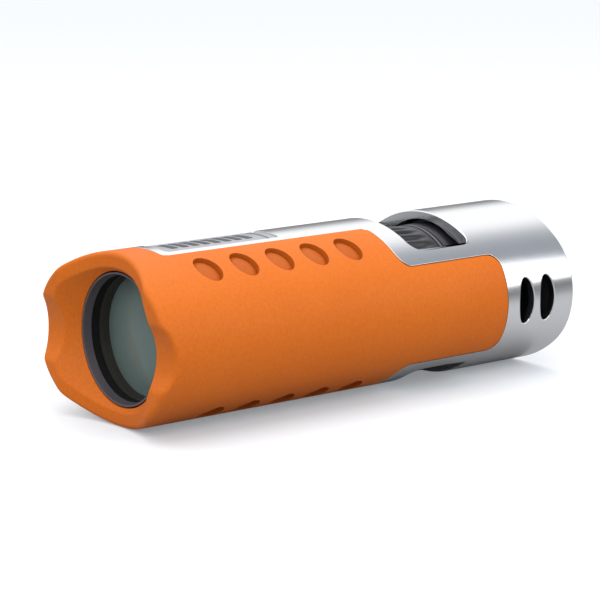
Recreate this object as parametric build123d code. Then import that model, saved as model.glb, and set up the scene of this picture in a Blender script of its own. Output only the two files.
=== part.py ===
"""Pocket roof-prism monocular, 8x21 class, lying on the flatter side of its oval body.

Every piece is modelled about the optical axis: the axis is the Y axis, y = 0 is the front
rim of the hood and y grows towards the eye. export() then moves each piece so that the
row's origin is at the middle of the bounding box's underside, with +Z up.
All lengths are in millimetres.
"""
from build123d import *
import math
import os

# --- outside form -----------------------------------------------------------------------
LENGTH = 95.6               # hood rim to rear edge
HALF_HEIGHT = 15.5
HALF_WIDTH = 19.8
SIDE_RADIUS = 13.1          # the two tight arcs of the oval
BIG = 60.0                  # reach of the cutting tools beyond the body
PAST = 1.0                  # how far a cutting tool goes past the piece
TOUCH = 0.01                # distance at which two places count as one
UPWARDS = (Align.CENTER, Align.CENTER, Align.MIN)
DOWNWARDS = (Align.CENTER, Align.CENTER, Align.MAX)

# --- shell and sleeve -------------------------------------------------------------------
SLEEVE_THICK = 1.2
SLEEVE_GAP = 0.1            # parting line all round the sleeve
SHELL_START = 5.8           # the shell begins behind the sleeve's front lip
FRONT_WALL = 2.3            # shell wall where it carries the sleeve
REAR_WALL = 1.6             # shell wall behind the sleeve
REAR_WALL_START = 80.0
WHEEL_WELL = (59.6, REAR_WALL_START)
WHEEL_WELL_RADIUS = 14.0
WRAP_END = 55.5             # the sleeve goes all the way round up to here
TONGUE_END = 78.3
TONGUE_HALF = 9.0
TONGUE_CORNER = 2.2
STRIP_START = 9.6
STRIP_HALF = 5.25
STRIP_CORNER = 1.5
WINDOW_MID = 67.5
WINDOW_LENGTH = 14.0
WINDOW_HALF = 13.5
WINDOW_CORNER = 2.2
SLOT_CENTRES = (83.4, 88.7)
SLOT_WIDTH = 3.65
SLOT_HEIGHT = 8.7
SLOT_CUT = 6.0              # the slots go this deep, through the wall
RIM_EDGE = 0.35

# --- hood -------------------------------------------------------------------------------
HOOD_MOUTH_RADIUS = 15.5
HOOD_BACK = 4.3
LENS_WELL_RADIUS = 12.1
CROWN_NOTCH_DEPTH = 3.5
CROWN_NOTCH_RADIUS = 26.0
SIDE_NOTCH_DEPTH = 2.0
SIDE_NOTCH_RADIUS = 9.1
HOOD_EDGE = 0.9

# --- grip dimples -----------------------------------------------------------------------
DIMPLE_START = 15.4
DIMPLE_PITCH = 7.87
DIMPLE_COUNT = 5
DIMPLE_X = 10.8
DIMPLE_LENGTH = 4.9         # along the body
DIMPLE_REACH = 7.0          # round the body
DIMPLE_DEPTH = 0.8
DIMPLE_DOME = 0.55

# --- name plate -------------------------------------------------------------------------
PLATE_START = 11.6
PLATE_END = 36.6
PLATE_HALF = 3.8
PLATE_CORNER = 0.9
PLATE_SINK = 0.2
PLATE_THICK = 0.35

# --- objective --------------------------------------------------------------------------
CELL_RADIUS = 12.5
CELL_START = 5.8
CELL_END = 30.0
OBJECTIVE_RADIUS = 11.5
OBJECTIVE_SEAT = 9.4
OBJECTIVE_EDGE = 9.6        # front edge of the glass
CROWN_FRONT_CURVE = 48.0
CEMENT_CURVE = 38.0
FLINT_REAR_CURVE = 140.0
CROWN_EDGE_THICK = 1.8
FLINT_BACK = 15.2
CELL_BORE = 11.6
CELL_LIP_RADIUS = 12.0
CELL_STOP_RADIUS = 10.8
SEAT_FRONT = 7.55
SEAT_FRONT_RADIUS = 11.15
BULKHEAD_THICK = 4.0
FITTING_GAP = 0.05
RING_FRONT = 4.25
RING_BACK = 7.5
RING_BEVEL_END = 6.3
RING_FRONT_BORE = 11.65
RING_BORE = 11.2
CLAMP_RING_BORE = 10.4
CLAMP_RING_LENGTH = 2.08
CLAMP_RING_GAP = 0.12
BAFFLE_BORE = 8.8
BAFFLE_START = 22.0
BAFFLE_END = 23.0
BAFFLE_HOLLOW = 0.6         # its bore starts this much behind its front edge

# --- prisms -----------------------------------------------------------------------------
HOUSING_START = 30.2
HOUSING_END = 57.0
HOUSING_INSET = 2.45
PRISM_START = 34.0
PRISM_APERTURE = 13.0
PRISM_GAP = 0.03            # air gap, as a share of the aperture
POCKET_MARGIN = 0.15
POCKET_MID = -0.45
POCKET_WIDTH = 25.4
POCKET_LENGTH = 16.3
CLAMP_MID = 48.2
CLAMP_WIDTH = 24.0
CLAMP_LENGTH = 12.0
CLAMP_THICK = 0.5
CLAMP_SCREW_Y = 52.6
CLAMP_SCREWS = (-10.6, 10.6)
SCREW_RADIUS = 0.8
SCREW_FIT = 0.05            # play of a screw in its hole
TAP_FIT = 0.02              # play of a screw in its thread
SCREW_DEPTH = 12.0          # depth of the screw holes
HOUSING_FRONT_BORE = 8.2
HOUSING_REAR_BORE = 6.8
CLAMP_LIFT = 0.65           # underside of the clamp above the prisms' middle plane
CLAMP_PLAY = 0.6
FOOT_AHEAD = 3.0
FOOT_WIDTH = 14.0
FOOT_LENGTH = 5.0
FOOT_LIFT = 0.02
CLAMP_HEAD = (1.3, 0.7, 5.0)     # screw head radius, head height and shank length
BARREL_HEAD = (1.35, 0.9, 7.5)

# --- focusing ---------------------------------------------------------------------------
FLANGE_START = 57.2
FLANGE_END = 59.2
BARREL_RADIUS = 11.05
BARREL_BORE = 9.65
BARREL_END = 90.4
BARREL_SCREWS = (-15.2, 15.2)
CORE_BORE = 11.10
CORE_RADIUS = 12.4
RING_START = 60.2
RING_END = 76.8
GRIP_START = 60.8
GRIP_END = 71.6
GRIP_CREST = 13.45
GRIP_SHOULDER = (13.3, 65.0)     # radius and station where the tread begins to narrow
GRIP_REAR_RADIUS = 12.85
FLUTE_COUNT = 36
FLUTE_RADIUS = 0.7
FLUTE_LIFT = 0.2            # the flute's middle above the crest
WHEEL_LIP_RADIUS = 12.9
TRIM_SEAT_RADIUS = 12.6
TRIM_RADIUS = 13.0
TRIM_START = 71.75
TRIM_END = 72.3
COLLAR_START = 72.6
COLLAR_RADIUS = 13.0
COLLAR_END = (13.2, 75.4)
STOP_RADIUS = 13.7
STOP_GAP = 0.3
STOP_LENGTH = 2.3
WASHER_RADII = (13.0, 11.2)
WASHER_THICK = 0.6
SLOT_PLAY = 0.1             # play of a guide pin beside and beyond its slot
TRAVEL_PLAY = 0.3
HELIX_LEAD = 7.0            # carrier travel per full turn
TURN_MIN = -30.0
TURN_MAX = 150.0
PIN_RADIUS = 0.9
PIN_TIP = 12.0
PIN_Y = 67.0
GROOVE_HALF = 1.05
GROOVE_FLOOR = 12.25
GROOVE_CUT = 2.0            # radial height of the cutter
GROOVE_OVERLAP = 0.9        # how far one cut runs into the next
GROOVE_STEP = 9.0           # degrees between the short straight cuts that form the helix

# --- eyepiece ---------------------------------------------------------------------------
CARRIER_RADIUS = 9.6
CARRIER_BORE = 8.7
CARRIER_START = 61.5
CARRIER_END = 94.4
EYE_RADIUS = 8.6
EYE_CELL_RADIUS = 8.68
STOP_STEP = (7.8, 69.4, 70.2)    # bore and stations of the ledge in front of the field lens
FIELD_STOP_BORE = 5.6
FIELD_STOP_EDGES = (62.4, 63.4, 63.0, 63.2)    # stations: rim front and back, bore front and back
FIELD_LENS = (71.6, 22.0, 73.2, -60.0)         # front edge, front curve, back edge, back curve
EYE_FLINT = (80.2, -60.0, 85.4, 16.0)
EYE_CROWN = (85.4, 16.0, 88.9, -24.0)
SPACER_BORE = 7.7
SPACER_START = 73.4
SPACER_END = 80.1
EYE_RING_START = 89.4
EYE_RING_END = 92.6
EYE_RING_BORES = (7.5, 8.2)
CAP_START = 90.7
CAP_END = 91.9
CAP_BORE = 10.1
EYECUP_START = 92.7
EYECUP_END = 95.4
EYECUP_RADIUS = 12.0
EYECUP_EDGE = (0.6, 0.5)    # bevels at its front and back
EYECUP_BORES = (9.6, 8.9)   # at the back, and where it meets the carrier


# --- the oval's arcs --------------------------------------------------------------------
SIDE_X = HALF_WIDTH - SIDE_RADIUS
CROWN_RADIUS = (SIDE_X ** 2 + HALF_HEIGHT ** 2 - SIDE_RADIUS ** 2) / (2 * (HALF_HEIGHT - SIDE_RADIUS))
CROWN_Z = CROWN_RADIUS - HALF_HEIGHT    # how far a crown arc's centre lies beyond the axis


# --- helpers ----------------------------------------------------------------------------
def oval(inset=0.0):
    """Body section in the XZ plane: two crown arcs and two side arcs, shrunk by inset."""
    reach = CROWN_RADIUS - inset
    slant = math.hypot(SIDE_X, CROWN_Z)
    jx = reach * SIDE_X / slant
    jz = reach * CROWN_Z / slant - CROWN_Z
    top = HALF_HEIGHT - inset
    side = HALF_WIDTH - inset
    outline = [
        ThreePointArc((-jx, 0, jz), (0, 0, top), (jx, 0, jz)),
        ThreePointArc((jx, 0, jz), (side, 0, 0), (jx, 0, -jz)),
        ThreePointArc((jx, 0, -jz), (0, 0, -top), (-jx, 0, -jz)),
        ThreePointArc((-jx, 0, -jz), (-side, 0, 0), (-jx, 0, jz)),
    ]
    return Face(Wire(outline))


def along(face, start, end):
    """Solid of an XZ face, from y = start to y = end."""
    return extrude(Pos(0, start, 0) * face, amount=end - start, dir=(0, 1, 0))


def bar(start, end, inset=0.0):
    """Solid oval bar between two stations."""
    return along(oval(inset), start, end)


def turned(*profile):
    """Lathe-turned solid about the optical axis, from (radius, y) corner points."""
    points = [(r, y, 0) for r, y in profile]
    face = Face(Wire(Polyline(*points, close=True)))
    return revolve(face, axis=Axis.Y)


def ring(outer, inner, start, end):
    """Plain turned ring."""
    return turned((inner, start), (outer, start), (outer, end), (inner, end))


def rod(radius, start, end):
    """Plain turned rod on the axis."""
    return turned((0, start), (radius, start), (radius, end), (0, end))


def sag(radius, curve):
    """Depth of a spherical face of the given curve at the given radius."""
    return curve - math.sqrt(curve ** 2 - radius ** 2)


def lens(radius, front_edge, front_curve, back_edge, back_curve):
    """Turned lens: a curve above zero has its centre towards the eye (y above the face)."""
    def vertex(edge, curve):
        return edge - math.copysign(sag(radius, abs(curve)), curve)

    def middle(edge, curve):
        half = radius / 2
        return (half, vertex(edge, curve) + math.copysign(sag(half, abs(curve)), curve), 0)

    front = vertex(front_edge, front_curve)
    back = vertex(back_edge, back_curve)
    outline = [
        ThreePointArc((0, front, 0), middle(front_edge, front_curve), (radius, front_edge, 0)),
        Line((radius, front_edge, 0), (radius, back_edge, 0)),
        ThreePointArc((radius, back_edge, 0), middle(back_edge, back_curve), (0, back, 0)),
        Line((0, back, 0), (0, front, 0)),
    ]
    return revolve(Face(Wire(outline)), axis=Axis.Y)


def plan_block(y_mid, length, half_width, corner):
    """Block with rounded corners in plan, through the whole height."""
    sketch = Pos(0, y_mid, 0) * RectangleRounded(2 * half_width, length, corner)
    return extrude(sketch, amount=BIG, both=True)


def side_block(sketch):
    """Solid of a YZ sketch drawn with Y to the right and Z up, through the whole width."""
    return extrude(Plane.YZ * sketch, amount=BIG, both=True)


def screw(radius, head_radius, head_height, length):
    """Cross-head screw: head from z = 0 up, shank down."""
    head = Cylinder(head_radius, head_height, align=UPWARDS)
    shank = Cylinder(radius, length, align=DOWNWARDS)
    blade = Box(head_radius * 1.3, head_radius * 0.3, head_height, align=UPWARDS)
    recess = Pos(0, 0, head_height / 2) * (blade + Rot(0, 0, 90) * blade)
    return head + shank - recess


# --- sleeve and shell -------------------------------------------------------------------
def sleeve_outline(grow):
    """Sleeve region: full wrap with a tongue down each side, less the crown strips."""
    wrap = Rectangle(WRAP_END + grow, BIG, align=(Align.MIN, Align.CENTER))
    tongue = RectangleRounded(TONGUE_END + grow, 2 * (TONGUE_HALF + grow), TONGUE_CORNER,
                              align=(Align.MIN, Align.CENTER))
    side_view = wrap + tongue
    inner = side_view.vertices().filter_by(
        lambda v: abs(v.X - WRAP_END - grow) < TOUCH and abs(abs(v.Y) - TONGUE_HALF - grow) < TOUCH)
    side_view = fillet(inner, TONGUE_CORNER)

    half = STRIP_HALF - grow
    strip_start = STRIP_START + grow
    strip = Pos(0, strip_start) * Rectangle(2 * half, BIG, align=(Align.CENTER, Align.MIN))
    strip = fillet(strip.vertices().group_by(Axis.Y)[0], STRIP_CORNER)
    flare = Pos(0, WRAP_END + grow) * Rectangle(BIG, BIG, align=(Align.CENTER, Align.MIN))
    strip = strip + flare
    corners = strip.vertices().filter_by(
        lambda v: abs(v.Y - WRAP_END - grow) < TOUCH and abs(abs(v.X) - half) < TOUCH)
    strip = fillet(corners, STRIP_CORNER)
    crowns = extrude(strip, amount=BIG, both=True) - side_block(
        Rectangle(4 * BIG, 2 * (TONGUE_HALF + grow + TONGUE_CORNER)))
    return side_block(side_view) - crowns


def notch_cutters():
    """Four scallops in the hood's rim: two wide ones over the crowns, two at the sides."""
    crown = Pos(0, CROWN_NOTCH_DEPTH - CROWN_NOTCH_RADIUS, 0) * Cylinder(CROWN_NOTCH_RADIUS, BIG)
    side = Pos(0, SIDE_NOTCH_DEPTH - SIDE_NOTCH_RADIUS, 0) * Rot(0, 90, 0) * Cylinder(
        SIDE_NOTCH_RADIUS, BIG)
    return [crown, side]


def dimple(x_side, z_side, y):
    """Cutter for one finger dimple: an oval pocket whose floor swells up in the middle."""
    z = math.sqrt(CROWN_RADIUS ** 2 - DIMPLE_X ** 2) - CROWN_Z
    tilt = math.degrees(math.asin(DIMPLE_X / CROWN_RADIUS))
    cap_radius = ((DIMPLE_LENGTH / 2) ** 2 + DIMPLE_DOME ** 2) / (2 * DIMPLE_DOME)
    dome = Pos(0, 0, DIMPLE_DOME - DIMPLE_DEPTH - cap_radius) * Sphere(cap_radius)
    pocket = extrude(Ellipse(DIMPLE_REACH / 2, DIMPLE_LENGTH / 2), amount=DIMPLE_REACH / 2)
    pocket = Pos(0, 0, -DIMPLE_DEPTH) * pocket - dome
    placed = Pos(DIMPLE_X, y, z) * Rot(0, tilt, 0) * pocket
    if x_side < 0:
        placed = mirror(placed, about=Plane.YZ)
    if z_side < 0:
        placed = mirror(placed, about=Plane.XY)
    return placed


def grip_sleeve():
    """Soft orange sleeve: hood lip, wrap, two side tongues and four rows of dimples."""
    lip_end = SHELL_START - SLEEVE_GAP
    skin = bar(lip_end, TONGUE_END) - bar(0, LENGTH, SLEEVE_THICK)
    skin = skin & sleeve_outline(0)
    widening = (HOOD_MOUTH_RADIUS - LENS_WELL_RADIUS) / HOOD_BACK
    flare = turned((0, -PAST), (HOOD_MOUTH_RADIUS + widening * PAST, -PAST), (LENS_WELL_RADIUS, HOOD_BACK),
                   (LENS_WELL_RADIUS, SHELL_START), (0, SHELL_START))
    lip = bar(0, lip_end) - flare - notch_cutters()
    rim = lip.edges().filter_by(lambda e: on_outside(e) and e.center().Y < lip_end - HOOD_EDGE / 2)
    lip = chamfer(rim, HOOD_EDGE)
    sleeve = lip + skin
    cutters = [
        dimple(x_side, z_side, DIMPLE_START + i * DIMPLE_PITCH)
        for x_side in (-1, 1) for z_side in (-1, 1) for i in range(DIMPLE_COUNT)
    ]
    return sleeve - cutters


def on_outside(edge):
    """True when an edge lies on the oval's outer surface and runs round it, not along it."""
    step = edge.position_at(0.6) - edge.position_at(0.4)
    runs_along = math.hypot(step.X, step.Z) < abs(step.Y) / 4
    return not runs_along and all(on_skin(edge.position_at(share)) for share in (0.2, 0.5, 0.8))


def on_skin(point):
    """True when a point lies on the oval's outer surface."""
    x, z = abs(point.X), abs(point.Z)
    from_side = math.hypot(x - SIDE_X, z) - SIDE_RADIUS
    from_crown = math.hypot(x, z + CROWN_Z) - CROWN_RADIUS
    return min(abs(from_side), abs(from_crown)) < TOUCH


def body_shell():
    """Silver oval shell with the sleeve's recess, two wheel windows and two strap slots."""
    shell = bar(SHELL_START, LENGTH)
    shell = chamfer(shell.edges().group_by(Axis.Y)[-1], RIM_EDGE)
    cavity = bar(0, LENGTH + PAST, FRONT_WALL) + bar(REAR_WALL_START, LENGTH + PAST, REAR_WALL)
    well = rod(WHEEL_WELL_RADIUS, *WHEEL_WELL)
    recess = (bar(0, LENGTH) - bar(-PAST, LENGTH + PAST, SLEEVE_THICK)) & sleeve_outline(SLEEVE_GAP)
    window = plan_block(WINDOW_MID, WINDOW_LENGTH, WINDOW_HALF, WINDOW_CORNER)
    slots = [
        Pos(HALF_WIDTH, y, 0) * Rot(0, 90, 0) * extrude(
            Ellipse(SLOT_HEIGHT / 2, SLOT_WIDTH / 2), amount=SLOT_CUT, both=True)
        for y in SLOT_CENTRES
    ]
    plate = name_plate_region(PLATE_SINK + PLATE_THICK)
    return shell - cavity - well - recess - window - slots - plate


def name_plate_region(depth):
    """Top crown down to a depth, inside the name plate's outline."""
    y_mid = (PLATE_START + PLATE_END) / 2
    outline = Pos(0, y_mid, 0) * RectangleRounded(2 * PLATE_HALF, PLATE_END - PLATE_START, PLATE_CORNER)
    column = extrude(outline, amount=BIG)
    return (bar(0, LENGTH) - bar(-PAST, LENGTH + PAST, depth)) & column


def name_plate():
    """Thin grey plate sunk in the top strip."""
    return name_plate_region(PLATE_SINK + PLATE_THICK) - name_plate_region(PLATE_SINK)


# --- objective --------------------------------------------------------------------------
def front_bulkhead():
    """Oval plate that centres the objective cell in the front of the shell."""
    plate = bar(CELL_START, CELL_START + BULKHEAD_THICK, FRONT_WALL + FITTING_GAP)
    return plate - rod(CELL_RADIUS, 0, LENGTH)


def objective_ring():
    """Black retaining ring in front of the objective, with a bevelled bore."""
    return turned((RING_FRONT_BORE, RING_FRONT), (CELL_LIP_RADIUS, RING_FRONT), (CELL_LIP_RADIUS, RING_BACK),
                  (RING_BORE, RING_BACK), (RING_BORE, RING_BEVEL_END))


def objective_cell():
    """Barrel of the objective: ring seat, front stop, lens seat and tube to the prisms."""
    return turned((CELL_LIP_RADIUS, CELL_START), (CELL_RADIUS, CELL_START), (CELL_RADIUS, CELL_END),
                  (CELL_BORE, CELL_END), (CELL_BORE, OBJECTIVE_SEAT), (CELL_STOP_RADIUS, OBJECTIVE_SEAT),
                  (SEAT_FRONT_RADIUS, SEAT_FRONT), (CELL_LIP_RADIUS, SEAT_FRONT))


def objective_crown_lens():
    """Front, biconvex glass of the objective doublet."""
    return lens(OBJECTIVE_RADIUS, OBJECTIVE_EDGE, CROWN_FRONT_CURVE,
                OBJECTIVE_EDGE + CROWN_EDGE_THICK, -CEMENT_CURVE)


def objective_flint_lens():
    """Rear glass of the objective doublet, cemented to the front one."""
    return lens(OBJECTIVE_RADIUS, OBJECTIVE_EDGE + CROWN_EDGE_THICK, -CEMENT_CURVE,
                FLINT_BACK, -FLINT_REAR_CURVE)


def lens_clamp_ring():
    """Threaded ring that clamps the doublet from behind."""
    start = FLINT_BACK + CLAMP_RING_GAP
    return ring(CELL_BORE, CLAMP_RING_BORE, start, start + CLAMP_RING_LENGTH)


def light_baffle():
    """Blackened diaphragm half way down the cell."""
    return turned((BAFFLE_BORE, BAFFLE_START + BAFFLE_HOLLOW), (CELL_BORE, BAFFLE_START),
                  (CELL_BORE, BAFFLE_END), (BAFFLE_BORE, BAFFLE_END))


# --- prisms -----------------------------------------------------------------------------
def prism_housing():
    """Oval block that holds both prisms in a pocket open at the top."""
    half = PRISM_APERTURE / 2
    body = bar(HOUSING_START, HOUSING_END, HOUSING_INSET)
    pocket = Pos(POCKET_MID, PRISM_START - POCKET_MARGIN, -half - POCKET_MARGIN) * Box(
        POCKET_WIDTH, POCKET_LENGTH, BIG, align=(Align.CENTER, Align.MIN, Align.MIN))
    front_bore = rod(HOUSING_FRONT_BORE, HOUSING_START - PAST, PRISM_START)
    rear_bore = rod(HOUSING_REAR_BORE, PRISM_START, HOUSING_END + PAST)
    ledge = Pos(0, CLAMP_MID, half + CLAMP_LIFT - FITTING_GAP) * Box(
        CLAMP_WIDTH + CLAMP_PLAY, CLAMP_LENGTH + CLAMP_PLAY, BIG, align=UPWARDS)
    tapped = SCREW_RADIUS + TAP_FIT
    clamp_holes = [Pos(x, CLAMP_SCREW_Y, 0) * Cylinder(tapped, BIG) for x in CLAMP_SCREWS]
    flange_holes = [Pos(x, HOUSING_END, 0) * Rot(90, 0, 0) * Cylinder(tapped, SCREW_DEPTH)
                    for x in BARREL_SCREWS]
    return body - pocket - front_bore - rear_bore - ledge - clamp_holes - flange_holes


def half_penta_prism():
    """First prism of the erecting pair: folds the light towards the roof."""
    a = PRISM_APERTURE
    outline = [(0, -0.5), (0, 0.5), (1.2, 0.997), (1.2, 0.7)]
    face = Face(Wire(Polyline(*[(-v * a, PRISM_START + u * a, 0) for u, v in outline], close=True)))
    return extrude(face, amount=a / 2, both=True)


def roof_prism():
    """Second prism of the erecting pair, with its 90 degree roof on the long side."""
    a = PRISM_APERTURE
    top_v = 0.66
    reach = 1.31
    top_u = top_v + 0.5 + PRISM_GAP * math.sqrt(2)
    apex = Vector(-top_v * a, PRISM_START + top_u * a, 0)
    slant = reach * a / math.sqrt(2)
    near = apex + Vector(slant, -slant, 0)
    far = apex + Vector(reach * a, 0, 0)
    along_base = (far - near).normalized()
    outward = Vector(along_base.Y, -along_base.X, 0)
    if outward.dot(far - apex) < 0:
        outward = outward * -1
    base_mid = (near + far) * 0.5
    half = a / 2
    wedge = extrude(Face(Wire(Polyline(
        apex, near + (near - apex) * 0.5, far + (far - apex) * 0.5, close=True))), amount=half, both=True)
    frame = Plane(origin=base_mid, x_dir=(0, 0, 1), z_dir=along_base)
    sign = 1 if frame.y_dir.dot(outward) > 0 else -1
    roof = Polyline((-half, -sign * 2 * a), (half, -sign * 2 * a), (half, -sign * half * 0.5),
                    (0, sign * half * 0.5), (-half, -sign * half * 0.5), close=True)
    column = extrude(frame * Face(Wire(roof)), amount=2 * a, both=True)
    return wedge & column


def prism_clamp():
    """Spring plate pressed down on both prisms."""
    half = PRISM_APERTURE / 2
    plate = Pos(0, CLAMP_MID, half + CLAMP_LIFT) * Box(
        CLAMP_WIDTH, CLAMP_LENGTH, CLAMP_THICK, align=UPWARDS)
    foot = Pos(0, CLAMP_MID - FOOT_AHEAD, half + FOOT_LIFT) * Box(
        FOOT_WIDTH, FOOT_LENGTH, CLAMP_LIFT - FOOT_LIFT, align=UPWARDS)
    holes = [Pos(x, CLAMP_SCREW_Y, 0) * Cylinder(SCREW_RADIUS + SCREW_FIT, BIG) for x in CLAMP_SCREWS]
    return plate + foot - holes


def prism_clamp_screws():
    """Two screws that hold the plate."""
    seat = PRISM_APERTURE / 2 + CLAMP_LIFT + CLAMP_THICK
    return [Pos(x, CLAMP_SCREW_Y, seat) * screw(SCREW_RADIUS, *CLAMP_HEAD) for x in CLAMP_SCREWS]


# --- focusing ---------------------------------------------------------------------------
def rear_barrel():
    """Oval flange and guide tube: the wheel turns on it and the eyepiece slides in it."""
    flange = bar(FLANGE_START, FLANGE_END, HOUSING_INSET)
    tube = rod(BARREL_RADIUS, FLANGE_START, BARREL_END)
    bore = rod(BARREL_BORE, FLANGE_START - PAST, BARREL_END + PAST)
    travel = HELIX_LEAD * (TURN_MAX - TURN_MIN) / 360
    middle = PIN_Y + HELIX_LEAD * (TURN_MAX + TURN_MIN) / 720
    slot_length = travel + 2 * (PIN_RADIUS + TRAVEL_PLAY)
    slot = Pos(0, middle, 0) * Rot(0, 0, 90) * extrude(
        SlotOverall(slot_length, 2 * (PIN_RADIUS + SLOT_PLAY)), amount=BIG, both=True)
    screws = [Pos(x, FLANGE_END, 0) * Rot(90, 0, 0) * Cylinder(SCREW_RADIUS + SCREW_FIT, SCREW_DEPTH)
              for x in BARREL_SCREWS]
    return flange + tube - bore - slot - screws


def barrel_screws():
    """Two screws that hold the flange to the prism housing."""
    return [Pos(x, FLANGE_END, 0) * Rot(-90, 0, 0) * screw(SCREW_RADIUS, *BARREL_HEAD)
            for x in BARREL_SCREWS]


def friction_washer():
    """Thin washer that gives the wheel its drag."""
    return ring(*WASHER_RADII, FLANGE_END, FLANGE_END + WASHER_THICK)


def focus_stop_ring():
    """Dark ring fixed on the guide tube behind the wheel; it keeps the wheel in place."""
    start = RING_END + STOP_GAP
    return ring(STOP_RADIUS, BARREL_RADIUS, start, start + STOP_LENGTH)


def helix_grooves():
    """Inside grooves that the two guide pins follow, as short straight cuts along a helix."""
    cuts = []
    chord = 2 * CORE_RADIUS * math.sin(math.radians(GROOVE_STEP / 2)) + GROOVE_OVERLAP
    lead_angle = math.degrees(math.atan(HELIX_LEAD / (2 * math.pi * CORE_BORE)))
    steps = int((TURN_MAX - TURN_MIN) / GROOVE_STEP)
    for start in (0, 180):
        for i in range(-1, steps + 2):
            turn = TURN_MIN + i * GROOVE_STEP
            y = PIN_Y + HELIX_LEAD * turn / 360
            cut = Pos(0, 0, GROOVE_FLOOR) * Rot(0, 0, -lead_angle) * Box(
                chord, 2 * GROOVE_HALF, GROOVE_CUT, align=DOWNWARDS)
            cuts.append(Pos(0, y, 0) * Rot(0, start - turn, 0) * cut)
    return cuts


def focus_ring_core():
    """Turning core of the focus wheel, with the helix inside and a plain collar behind."""
    body = turned((CORE_BORE, RING_START), (WHEEL_LIP_RADIUS, RING_START), (WHEEL_LIP_RADIUS, GRIP_START),
                  (CORE_RADIUS, GRIP_START), (CORE_RADIUS, GRIP_END), (TRIM_SEAT_RADIUS, GRIP_END),
                  (TRIM_SEAT_RADIUS, COLLAR_START), (COLLAR_RADIUS, COLLAR_START), COLLAR_END,
                  (COLLAR_END[0], RING_END), (CORE_BORE, RING_END))
    return body - helix_grooves()


def focus_ring_grip():
    """Fluted rubber tread on the focus wheel."""
    tread = turned((CORE_RADIUS, GRIP_START), (GRIP_CREST, GRIP_START), GRIP_SHOULDER,
                   (GRIP_REAR_RADIUS, GRIP_END), (CORE_RADIUS, GRIP_END))
    flute = Pos(0, (GRIP_START + GRIP_END) / 2, GRIP_CREST + FLUTE_LIFT) * Rot(90, 0, 0) * Cylinder(
        FLUTE_RADIUS, GRIP_END - GRIP_START + 2 * PAST)
    return tread - [Rot(0, 360 * i / FLUTE_COUNT, 0) * flute for i in range(FLUTE_COUNT)]


def focus_trim_ring():
    """Bright wire-thin ring between the tread and the collar."""
    return ring(TRIM_RADIUS, TRIM_SEAT_RADIUS, TRIM_START, TRIM_END)


def guide_pins():
    """Two radial pins that lock the eyepiece carrier to the helix."""
    length = PIN_TIP - CARRIER_BORE
    pin = Pos(0, PIN_Y, CARRIER_BORE) * Cylinder(PIN_RADIUS, length, align=UPWARDS)
    return [pin, Rot(0, 180, 0) * pin]


# --- eyepiece ---------------------------------------------------------------------------
def eyepiece_carrier():
    """Sliding tube of the eyepiece, with a stop in front of the field lens."""
    bore, front, back = STOP_STEP
    tube = turned((CARRIER_BORE, CARRIER_START), (CARRIER_RADIUS, CARRIER_START),
                  (CARRIER_RADIUS, CARRIER_END), (CARRIER_BORE, CARRIER_END), (CARRIER_BORE, back),
                  (bore, back), (bore, front), (CARRIER_BORE, front))
    holes = Pos(0, PIN_Y, 0) * Cylinder(PIN_RADIUS, BIG)
    return tube - holes


def field_stop():
    """Sharp-edged diaphragm in the eyepiece's focal plane."""
    rim_front, rim_back, bore_front, bore_back = FIELD_STOP_EDGES
    return turned((FIELD_STOP_BORE, bore_front), (CARRIER_BORE, rim_front), (CARRIER_BORE, rim_back),
                  (FIELD_STOP_BORE, bore_back))


def field_lens():
    """Field lens of the eyepiece."""
    return lens(EYE_RADIUS, *FIELD_LENS)


def eyepiece_spacer():
    """Tube between field lens and eye lens."""
    return ring(EYE_CELL_RADIUS, SPACER_BORE, SPACER_START, SPACER_END)


def eye_lens_flint():
    """Front, concave glass of the eye doublet."""
    return lens(EYE_RADIUS, *EYE_FLINT)


def eye_lens_crown():
    """Rear, biconvex glass of the eye doublet."""
    return lens(EYE_RADIUS, *EYE_CROWN)


def eyepiece_ring():
    """Threaded ring that clamps the eye lens."""
    front_bore, back_bore = EYE_RING_BORES
    return turned((front_bore, EYE_RING_START), (EYE_CELL_RADIUS, EYE_RING_START),
                  (EYE_CELL_RADIUS, EYE_RING_END), (back_bore, EYE_RING_END))


def eyecup():
    """Rubber eyecup, seated on the end of the carrier."""
    front_edge, back_edge = EYECUP_EDGE
    back_bore, carrier_bore = EYECUP_BORES
    seat = CARRIER_END + FITTING_GAP
    return turned((CARRIER_RADIUS, EYECUP_START), (EYECUP_RADIUS - front_edge, EYECUP_START),
                  (EYECUP_RADIUS, EYECUP_START + front_edge), (EYECUP_RADIUS, EYECUP_END - back_edge),
                  (EYECUP_RADIUS - back_edge, EYECUP_END), (back_bore, EYECUP_END), (carrier_bore, seat),
                  (CARRIER_RADIUS, seat))


def rear_cap():
    """Black oval plate that closes the rear, with the eyepiece's opening."""
    return bar(CAP_START, CAP_END, REAR_WALL + FITTING_GAP) - rod(CAP_BORE, CAP_START - PAST, CAP_END + PAST)


PIECES = [
    body_shell, grip_sleeve, name_plate, front_bulkhead, objective_ring, objective_cell,
    objective_crown_lens, objective_flint_lens, lens_clamp_ring, light_baffle, prism_housing,
    half_penta_prism, roof_prism, prism_clamp, prism_clamp_screws, rear_barrel, barrel_screws,
    friction_washer, focus_stop_ring, focus_ring_core, focus_ring_grip, focus_trim_ring,
    guide_pins, eyepiece_carrier, field_stop, field_lens, eyepiece_spacer, eye_lens_flint,
    eye_lens_crown, eyepiece_ring, eyecup, rear_cap,
]


def export(piece):
    """Write one piece, moved into the row's frame."""
    made = piece()
    solids = made if isinstance(made, list) else made.solids()
    solids = [solid for item in solids for solid in item.solids()]
    place = Pos(0, -LENGTH / 2, HALF_HEIGHT)
    shape = Compound(children=[place * solid for solid in solids]) if len(solids) > 1 else place * solids[0]
    export_step(shape, f"parts/{piece.__name__}.step")


os.makedirs("parts", exist_ok=True)
for piece in PIECES:
    export(piece)
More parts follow.
